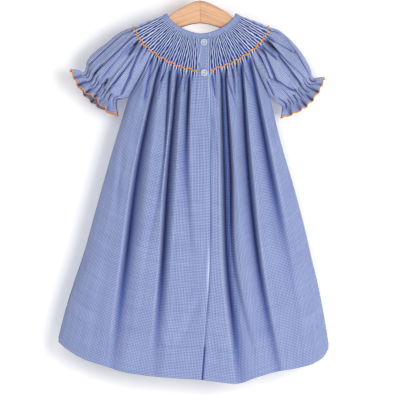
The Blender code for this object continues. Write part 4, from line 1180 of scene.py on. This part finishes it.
def lay_strip():
    """The strip's grids: down the yoke's levels and on into the skirt's rows, widening to an end that slants
    up and inwards. Past level 1, what is left of the level is turned into rows."""
    inward = np.linspace(0, 1, 25)[None]
    end = mix(*PLACKET_ENDS, smooth((inward - 0.38) / 0.62))
    level = mix(PLACKET_TOP, end, np.linspace(0, 1, 70)[:, None])
    widening = mix(*PLACKET_WIDENING, smooth((level - 0.25) / 0.5))
    in_yoke = np.minimum(level, 1)
    edge, width = opening_edge(in_yoke, True)
    yoke = pack(*ring(in_yoke, (edge - width * widening * inward) * RAGLAN_SHARE, "back"), "back")
    rows = np.maximum(level - 1, 0) * ROWS_PER_LEVEL
    edge, width = opening_edge(rows, False)
    x, z, depth, *_ = skirt(rows, edge - width * widening * inward, "back")
    base = np.where((level > 1)[..., None], pack(x, z, depth, "back"), yoke)
    normal = facings(base, 12, (0, -1, 0))
    rounding = np.sqrt(np.clip(1 - np.maximum(np.abs(2 * inward - 1) - 0.9, 0) ** 2 / 0.01, 0, 1))
    up = LAY_GAP + mix(0.35, PLACKET_THICK, rounding) + 0 * base[..., 0]
    topstitch = bell((np.minimum(inward, 1 - inward) - 0.1) / 0.03)
    outer = base + (up - 0.2 * topstitch)[..., None] * normal
    inner = base + (LAY_GAP + 0 * up)[..., None] * normal
    flat = laid_flat(outer, 1 + 0 * up, 0.0)
    # Painted highlights along the strip's two folded edges.
    crown = 0.7 * bell((inward - 0.96) / 0.05) + 0.5 * bell((inward - 0.03) / 0.04) + 0 * up
    made = cloth_wall("placket_cloth", outer, inner, flat, 0 * up, cotton, crown)
    return made, outer, normal


placket, strip, strip_normal = lay_strip()


# %% [markdown]
# ## Cords and stitches
#
# A cord is a circle carried along a path, square to it. A row of sewing is many short cords. They are all
# worked out at once: an array with one entry for each stitch, each of its rings and each side of a ring.

# %% A tube along a path
def lengths_along(path):
    """Distance along a path at each of its points."""
    return np.concatenate([[0.0], np.cumsum(np.linalg.norm(np.diff(path, axis=0), axis=-1))])


def resample(path, at, values=None):
    """A path's points at given distances along it, each coordinate interpolated, or other values that
    belong to its points."""
    reached = lengths_along(path)
    values = path if values is None else values
    return np.stack([np.interp(at, reached, values[:, k]) for k in range(values.shape[1])], axis=-1)


def circles(angle, upward, sideways):
    """Round every point of a path: a cosine of the upward direction plus a sine of the sideways one."""
    return np.cos(angle)[:, None] * upward[..., None, :] + np.sin(angle)[:, None] * sideways[..., None, :]


def tube(name, path, facing, radius, finish, sides=10, closed=False):
    """Circles square to a path, each the path's point plus the radius times a circle, joined into a skin."""
    radius = np.broadcast_to(radius, len(path))
    if closed:
        tangent = unit(np.roll(path, -1, axis=0) - np.roll(path, 1, axis=0))
    else:
        tangent = unit(np.gradient(path, axis=0))
    sideways = unit(np.cross(tangent, facing))
    upward = np.cross(sideways, tangent)
    angle = np.linspace(0, 2 * math.pi, sides + 1)
    points = path[:, None] + radius[:, None, None] * circles(angle[:-1], upward, sideways)
    rows = len(path)
    length = lengths_along(path if not closed else np.concatenate([path, path[:1]]))
    girth = angle * radius.mean()
    unwrapped = np.stack(np.broadcast_arrays(girth[None], length[:, None]), axis=-1)
    faces = [cells(rows, sides, wrap=True, loop=closed)]
    uvs = [unwrapped.reshape(-1, 2)[cells(rows + closed, sides + 1)]]
    if not closed:
        faces.append(end_caps(rows, sides))
        uvs.append(np.zeros((2, sides, 2)))
    return make_piece(name, points, faces, finish, uvs)


# %% A row of stitches
STITCH_SIZES = np.array([0.35, 0.9, 1.0, 0.9, 0.35])
STITCH_SIDES = 6


def stitch_row(name, path, facing, long, gap, radius, rise=0.3):
    """Short cords end to end: each starts a stitch and a gap after the last, arches by a sine between its
    ends, and narrows where it dives into the cloth."""
    total = lengths_along(path)[-1]
    count = max(int(total / (long + gap)), 1)
    rings = len(STITCH_SIZES)
    ring_at = np.linspace(0, 1, rings)
    at = np.arange(count)[:, None] * (total / count) + 0.5 * gap + long * ring_at[None]
    centre = resample(path, at)
    outward = unit(resample(path, at, np.broadcast_to(facing, path.shape)))
    tangent = unit(np.gradient(centre, axis=1))
    sideways = unit(np.cross(tangent, outward))
    upward = np.cross(sideways, tangent)
    centre = centre + (rise * np.sin(math.pi * ring_at))[None, :, None] * outward
    angle = np.linspace(0, 2 * math.pi, STITCH_SIDES + 1)[:-1]
    size = radius * STITCH_SIZES
    points = centre[:, :, None] + size[None, :, None, None] * circles(angle, upward, sideways)
    one = cells(rings, STITCH_SIDES, wrap=True)
    first = (np.arange(count) * rings * STITCH_SIDES)[:, None, None]
    faces = (one[None] + first).reshape(-1, 4)
    caps = (end_caps(rings, STITCH_SIDES)[None] + first).reshape(-1, STITCH_SIDES)
    flat = np.stack(np.broadcast_arrays(angle[None] * radius, (ring_at * long)[:, None]), axis=-1)
    uv = np.broadcast_to(flat.reshape(-1, 2)[one][None], (count, *one.shape, 2)).reshape(-1, 4, 2)
    return make_piece(name, points, [faces, caps], blue_thread, [uv, np.zeros((*caps.shape, 2))])


# %% [markdown]
# ## Orange smocking stitches
#
# The smocking ends in one line of wave stitches that climbs and falls over every three or four pleats. It
# goes right round the yoke and stops at the buttonhole strip. The thread lies on the pleats' tops, so its
# path is the ring moved out by their height.

# %% The wave round the yoke
WAVE_PLEATS = 3.5
WAVE_LEVEL = 0.036
ORANGE_RADIUS = 1.05


def smocking_path(face, start, end, count, lift):
    """A wave on the ring near level 1: its level swings with the pleats counted along the ring."""
    across = np.linspace(start, end, count)
    arc = YOKE["arc_" + face][1]
    pitch = {"back": 4.25, "front": 2 * RAGLAN_SHARE * 153.0 / RIBS["front"]}[face]
    swing = 2 / math.pi * np.arcsin(0.93 * np.sin(2 * math.pi * across * arc / (WAVE_PLEATS * pitch)))
    level = 0.985 + WAVE_LEVEL * swing

    def on_ring(level, across):
        return pack(*ring(level, across, face), face)

    here = on_ring(level, across)
    down = on_ring(level + 0.01, across) - on_ring(level - 0.01, across)
    along = np.gradient(here, axis=0)
    outward = unit(np.cross(along, down))
    outward = outward * np.sign((outward[:, 1] * (1 if face == "front" else -1)).mean())
    return here + lift * outward, outward


def wave_stitches():
    """One thread from the strip's left edge round the yoke to the opening's right edge."""
    lift = RIB_RISE - RIB_SINK + 0.35
    left = (SEAM_TOP_X - STRIP_WIDTH_YOKE - YOKE_CENTRE_X) / YOKE["arc_back"][1]
    right = (SEAM_TOP_X - YOKE_CENTRE_X) / YOKE["arc_back"][1]
    parts = [
        smocking_path("back", left - 0.01, -0.995, 420, lift),
        smocking_path("front", -0.995, 0.995, 900, lift),
        smocking_path("back", 0.995, right + 0.012, 420, lift),
    ]
    path = np.concatenate([points for points, _ in parts])
    facing = np.concatenate([outward for _, outward in parts])
    run = lengths_along(path)
    radius = ORANGE_RADIUS * (0.86 + 0.14 * np.abs(np.sin(math.pi * run / 4.3)))
    return tube("smocking_stitches", path, facing, radius, orange_thread)


smocking = wave_stitches()


# %% [markdown]
# ## Edging and seams
#
# The ruffles' raw edges are covered by close orange stitches, which make a cord along the edge. The hem,
# the binding and the strip are sewn with small blue stitches.

# %% Orange edging of the ruffles
def edge_ruffle(side):
    """A closed cord along a sleeve's last row of points, thicker at every stitch."""
    panel = panels["sleeve_left" if side < 0 else "sleeve_right"]
    edge = panel["outer"][-1]
    edge = np.concatenate([edge, edge[:1]])
    total = lengths_along(edge)[-1]
    at = np.linspace(0, total, 900, endpoint=False)
    path = resample(edge, at)
    facing = np.broadcast_to(np.array([side * 0.7, 0.0, -0.7]), path.shape)
    radius = 0.95 * (0.82 + 0.18 * np.cos(2 * math.pi * at * round(total / 2.2) / total))
    name = "ruffle_edging_left" if side < 0 else "ruffle_edging_right"
    return tube(name, path, facing, radius, orange_thread, closed=True)


edgings = [edge_ruffle(-1), edge_ruffle(1)]


# %% Hem, binding and strip stitches
def across_row(name, distance):
    """The line on a panel that lies a distance above its lower edge, and the way that it faces."""
    panel = panels[name]
    height = panel["flat"][..., 1]
    row = (height > distance).sum(axis=0) - 1
    column = np.arange(height.shape[1])
    above, below = height[row, column], height[row + 1, column]
    share = ((above - distance) / (above - below))[:, None]
    path = mix(panel["outer"][row, column], panel["outer"][row + 1, column], share)
    return path, panel["normal"][row, column]


for name in ("back_left", "back_right", "front"):
    path, facing = across_row(name, HEM_DEPTH)
    if name == "back_right":
        path, facing = path[LAP_COLUMNS + 2:], facing[LAP_COLUMNS + 2:]
    stitch_row("hem_stitches_" + name, path + 0.3 * facing, facing, 2.4, 1.6, 0.32, 0.4)
stitch_row("binding_stitches", binding_outer[-3], binding_normal[-3], 1.8, 1.2, 0.2, 0.2)
for name, column in (("edge", 2), ("inner", 22)):
    stitch_row("strip_stitches_" + name, strip[:, column], strip_normal[:, column], 2.0, 1.0, 0.2)


# %% [markdown]
# ## Buttons
#
# Each button is turned: half of its section goes round an axis. Its four holes are dents in the same
# surface, where the distance from a hole's middle is small, and two bars of white thread cross them.

# %% Turn the buttons
BUTTON_RADIUS = 5.5
BUTTON_THICK = 2.2
HOLE_RADIUS = 0.85
HOLE_OFFSET = 1.5
BUTTONS = table("x z", [(6.2, -123.0), (6.4, -172.4)])
BUTTON_SECTION = table("radius height", [
    (0.03, 0.62), (0.3, 0.62), (0.55, 0.66), (0.66, 0.86), (0.76, 0.98), (0.86, 1), (0.95, 0.86),
    (1, 0.58), (0.98, 0.3), (0.88, 0.06), (0.7, 0), (0.03, 0),
])


def button_seat(x, z):
    """The strip's point nearest to a place in the view, and three directions: along, up and out."""
    near = np.hypot(strip[..., 0] - x, strip[..., 2] - z)
    row, column = np.unravel_index(near.argmin(), near.shape)
    out = unit(strip_normal[row, column])
    along = unit(np.cross([0, 0, 1.0], out))
    centre = strip[row, column] + LAY_GAP * out
    return centre, np.array([along, np.cross(out, along), out])


def turn_button(number, x, z):
    """Radius and height along the section, carried round; holes dent the top half of the section."""
    steps = np.linspace(0, 1, 56)
    at = np.linspace(0, 1, len(BUTTON_SECTION["radius"]))
    radius = np.interp(steps, at, BUTTON_SECTION["radius"]) * BUTTON_RADIUS
    height = np.interp(steps, at, BUTTON_SECTION["height"]) * BUTTON_THICK
    angle = np.linspace(0, 2 * math.pi, 97)[:-1]
    flat_x = radius[:, None] * np.cos(angle)
    flat_y = radius[:, None] * np.sin(angle)
    tall = height[:, None] + 0 * flat_x
    away = np.hypot(np.abs(flat_x) - HOLE_OFFSET, np.abs(flat_y) - HOLE_OFFSET)
    top = (steps < 0.5)[:, None]
    tall = tall - np.where(top, 1.0 * (1 - smooth((away - 0.75 * HOLE_RADIUS) / 0.3)), 0.0)
    centre, frame_of = button_seat(x, z)
    points = centre + np.stack([flat_x, flat_y, tall], axis=-1) @ frame_of
    rows, sides = flat_x.shape
    faces = [cells(rows, sides, wrap=True), end_caps(rows, sides)]
    # Painted shade in the holes, and a painted shadow ring where the rim rises from the dished middle.
    hole = np.where(top, 1 - smooth((away - 0.7 * HOLE_RADIUS) / 0.5), 0.0)
    hole = np.maximum(hole, 0.45 * bell((radius / BUTTON_RADIUS - 0.62) / 0.07)[:, None] * top)
    made = make_piece(f"button_{number}_resin", points, faces, button_resin, values={"hole": hole})
    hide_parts(f"button_{number}")
    for across, bar in ((-1, "lower"), (1, "upper")):
        t = np.linspace(-1, 1, 24)
        bow = BUTTON_THICK * 0.62 - 0.9 + 1.15 * np.sqrt(np.clip(1 - t**4, 0, 1))
        place = np.stack([t * (HOLE_OFFSET + 0.1), across * (HOLE_OFFSET - 0.15) + 0 * t, bow], axis=-1)
        path = centre + place @ frame_of
        tube(f"button_{number}_thread_{bar}", path, frame_of[2], 0.36, white_thread, sides=8)


for number, (x, z) in enumerate(zip(BUTTONS["x"], BUTTONS["z"]), start=1):
    turn_button(number, x, z)


# %% [markdown]
# ## The hanger
#
# Two flat arms of wood meet in a mitre under a wire hook. An arm's section is a rounded rectangle, drawn
# here as a superellipse, and it is carried from the mitre out to the rounded tip, where it shrinks as a
# circle does.

# %% Shape the arms
ARM_HALF_THICK = 6.0
ARM_JOINT_GAP = 0.01
ARM_TOP = table("x z", [
    (0, -56), (6, -56.6), (16, -60), (34, -69.4), (45, -76.4), (51, -81.8), (58, -84.3), (66, -86.4),
    (104, -101.6), (122, -109.2),
])
ARM_BOTTOM = table("x z", [
    (0, -92.3), (12, -93.8), (29, -98.6), (60, -109), (95, -119), (120, -124),
])
ARM_TIP = (120.8, -116.4)
ARM_TIP_RADIUS = 7.2


def shape_arm(side):
    """Sections across the arm at each x: half-height from its two edges, corners from a fourth power."""
    tip = ARM_TIP[0] + ARM_TIP_RADIUS * np.sin(np.linspace(0.06, 1.5, 20))
    x = np.concatenate([[0.0, 0.4, 0.8, 1.2], np.linspace(2.0, ARM_TIP[0], 116), tip])
    before = x <= ARM_TIP[0]
    top = np.where(before, through(ARM_TOP["x"], ARM_TOP["z"], x), 0)
    bottom = np.where(before, through(ARM_BOTTOM["x"], ARM_BOTTOM["z"], x), 0)
    round_tip = np.sqrt(np.clip(ARM_TIP_RADIUS**2 - (x - ARM_TIP[0]) ** 2, 0, None))
    top = np.where(before, top, ARM_TIP[1] + round_tip)
    bottom = np.where(before, bottom, ARM_TIP[1] - round_tip)
    middle, half = (top + bottom) / 2, (top - bottom) / 2
    thick = ARM_HALF_THICK * np.where(before, 1.0, (round_tip / ARM_TIP_RADIUS) ** 0.6)
    angle = np.linspace(0, 2 * math.pi, 49)[:-1]
    corner = np.minimum(half, 5.2)[:, None]
    up, out = np.sin(angle)[None], np.cos(angle)[None]
    rise = np.sign(up) * (half[:, None] - corner + corner * np.abs(up) ** 0.8) * np.minimum(1, np.abs(up) * 3)
    y = thick[:, None] * np.sign(out) * np.abs(out) ** 0.55
    eased = 1 - 0.05 * bell(x / 0.5)[:, None]
    z = middle[:, None] + rise * eased
    points = np.stack(np.broadcast_arrays(side * (x[:, None] + ARM_JOINT_GAP), y * eased, z), axis=-1)
    rows, sides = z.shape
    name, finish = ("left", wood_left) if side < 0 else ("right", wood_right)
    # Painted shade on the arm's underside, some darkening along its top edge, and darker at the mitre.
    lower = np.maximum(smooth((-up - 0.58) / 0.34), 0.35 * smooth((up - 0.80) / 0.18))
    edge = np.maximum(lower, 0.45 * bell(x / 0.6)[:, None])
    skin = [cells(rows, sides, wrap=True), end_caps(rows, sides)]
    made = make_piece(f"hanger_wood_{name}", points, skin, finish, values={"edge": edge})
    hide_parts(f"hanger_arm_{name}")


shape_arm(-1)
shape_arm(1)

# %% [markdown]
# The hook is one bent wire: a straight shank, a bend to the right, and a round crook over the rail.

# %% Bend the hook
HOOK_WIRE_RADIUS = 1.7
HOOK_INNER_RADIUS = 17.0
ARM_PEAK_Z = -56.0


def bend_hook():
    """A shank, an easing bend, and an arc about the rail's middle, sampled again at even steps."""
    radius = HOOK_INNER_RADIUS + HOOK_WIRE_RADIUS
    angle = np.radians(np.linspace(-52, 205, 60))
    crook = np.stack([radius * np.cos(angle), -HOOK_INNER_RADIUS + radius * np.sin(angle)], axis=-1)
    foot = ARM_PEAK_Z + LAY_GAP
    t = np.linspace(0.2, 0.85, 14)
    bend = np.stack([crook[0, 0] * smooth(t) * 0.98, mix(foot + 10, crook[0, 1], t)], axis=-1)
    flat = np.concatenate([[(0.0, foot), (0.0, foot + 8)], bend, crook])
    even = resample(flat, np.linspace(0, lengths_along(flat)[-1], 150))
    path = np.stack([even[:, 0], 0 * even[:, 0], even[:, 1]], axis=-1)
    size = HOOK_WIRE_RADIUS * np.sqrt(np.clip(1 - np.clip((np.arange(150) - 146) / 3.4, 0, 1) ** 2, 0.04, 1))
    made = tube("hook_wire", path, np.array([0.0, -1.0, 0.0]), size, wire_steel, sides=20)
    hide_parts("hook")


bend_hook()

# %% [markdown]
# ## Hiding the cloth solids
#
# Each cloth piece stands for its solid, which is hidden here with the imported binding and strip. The
# table lists the size that each was cut to before it was gathered and hung, but nothing reads it.

# %% Hide the cloth solids
CUTS = {
    "back_left": (0.250, 0.590, 0.128),
    "back_right": (0.215, 0.590, 0.110),
    "front": (0.465, 0.590, 0.235),
    "sleeve_left": (0.230, 0.180, 0.036),
    "sleeve_right": (0.230, 0.180, 0.036),
}
for node, (width, length, area) in CUTS.items():
    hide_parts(node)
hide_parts("neck_binding")
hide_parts("placket")

# %% [markdown]
# ## Light, wall and camera
#
# The dress was photographed before a white wall in soft light from the front and the right. A pale surface
# that runs from the wall into a floor has no corner. It glows a little, most where it shows through the
# neck. It is clear from behind and casts no shadow, so that the dress's front can be seen and lit too.

# %% Wall and floor
WALL_Y = 0.045
FLOOR_Z = -1.15
WALL_BEND = 0.3
WALL_TOP_Z = 1.2
WALL_HALF_WIDTH = 2.6
FLOOR_FRONT_Y = -3.5
WALL_GLOW = 0.08
NECK_GAP = (0.0, -95.0, 45.0)
NECK_GLOW = 5.4


def pale_sweep():
    """A wall that bends into a floor: two straight runs joined by a quarter circle. It is painted on its front
    only and clear from behind, so that it never hides the dress."""
    angle = np.linspace(0, math.pi / 2, 16)
    curve_y = WALL_Y - WALL_BEND + WALL_BEND * np.cos(angle)
    curve_z = FLOOR_Z + WALL_BEND - WALL_BEND * np.sin(angle)
    y = np.concatenate([[WALL_Y], curve_y, [FLOOR_FRONT_Y]])
    z = np.concatenate([[WALL_TOP_Z], curve_z, [FLOOR_Z]])
    x = np.array([-WALL_HALF_WIDTH, WALL_HALF_WIDTH])
    points = np.stack(np.broadcast_arrays(x[None], y[:, None], z[:, None]), axis=-1)
    mesh = bpy.data.meshes.new("pale_sweep")
    mesh.from_pydata(points.reshape(-1, 3).tolist(), [], cells(len(y), 2)[:, ::-1].tolist())
    mesh.shade_smooth()
    paint = Recipe("matt white paint", Roughness=0.9, Emission_Strength=WALL_GLOW)
    px, py, pz = paint.places()
    across_neck = (px - NECK_GAP[0]) * (1 / NECK_GAP[2])
    down_neck = (pz - NECK_GAP[1]) * (1 / NECK_GAP[2])
    at_neck = (1.0 - (across_neck * across_neck + down_neck * down_neck)).between()
    paint.feed("Emission Color", paint.blend((1.0, 1.0, 1.0), (NECK_GLOW,) * 3, at_neck))
    mottle = paint.noise(paint.point(px * 0.004, py * 0.004, pz * 0.004), 1.0, 2.0)
    paint.feed("Base Color", paint.blend((0.93, 0.93, 0.93), (0.96, 0.96, 0.96), mottle))
    behind = paint.node("ShaderNodeNewGeometry", output=6)
    clear = paint.node("ShaderNodeBsdfTransparent")
    painted = Wire(paint, paint.shader.outputs[0])
    surface = paint.node("ShaderNodeMixShader", inputs={0: behind, 1: painted, 2: clear})
    paint.tree.links.new(surface.socket, paint.tree.nodes["Material Output"].inputs["Surface"])
    mesh.materials.append(paint.material)
    made = bpy.data.objects.new("pale_sweep", mesh)
    made.visible_shadow = False
    bpy.context.scene.collection.objects.link(made)


pale_sweep()

# %% [markdown]
# A large lamp at the right, level with the dress, throws a wide soft shadow to the left. A small one at the
# left opens the folds, a third lights the dress's front, and a white room gives the rest.

# %% Lamps and surroundings
LAMPS = {
    "large lamp at the right": ((1.2, -2.45, -0.3), 1.1, 38.0),
    "small lamp at the left": ((-0.6, -2.6, 0.3), 1.0, 12.0),
    "lamp for the front": ((-0.9, 2.6, 0.3), 1.2, 26.0),
}
DRESS_MIDDLE = (0.0, 0.0, -0.35)
ROOM_LIGHT = 0.40


def lamp(name, place, size, power):
    """A square area lamp that looks at the dress's middle."""
    light = bpy.data.lights.new(name, "AREA")
    light.shape = "SQUARE"
    light.size = size
    light.energy = power
    made = bpy.data.objects.new(name, light)
    made.location = place
    made.rotation_euler = (Vector(DRESS_MIDDLE) - Vector(place)).to_track_quat("-Z", "Y").to_euler()
    bpy.context.scene.collection.objects.link(made)


world = bpy.data.worlds.new("white room")
bpy.context.scene.world = world
world.use_nodes = True
background = world.node_tree.nodes["Background"].inputs
background["Color"].default_value = (1.0, 1.0, 1.0, 1.0)
background["Strength"].default_value = ROOM_LIGHT
for name, settings in LAMPS.items():
    lamp(name, *settings)
print("lamps:", ", ".join(LAMPS))

# %% [markdown]
# The camera looks straight at the back of the dress from far away, so that the hem isn't seen from above.

# %% Camera
VIEW_WIDTH = 0.64
VIEW_DISTANCE = 6.0
VIEW_Z = -0.3749
SENSOR_WIDTH = 36.0
camera_data = bpy.data.cameras.new("view of the back")
camera_data.sensor_width = SENSOR_WIDTH
camera_data.lens = SENSOR_WIDTH * VIEW_DISTANCE / VIEW_WIDTH
camera = bpy.data.objects.new("view of the back", camera_data)
camera.location = (0.0, -VIEW_DISTANCE, VIEW_Z)
camera.rotation_euler = (math.pi / 2, 0.0, 0.0)
bpy.context.scene.collection.objects.link(camera)
bpy.context.scene.camera = camera
bpy.context.scene.view_settings.view_transform = "Standard"
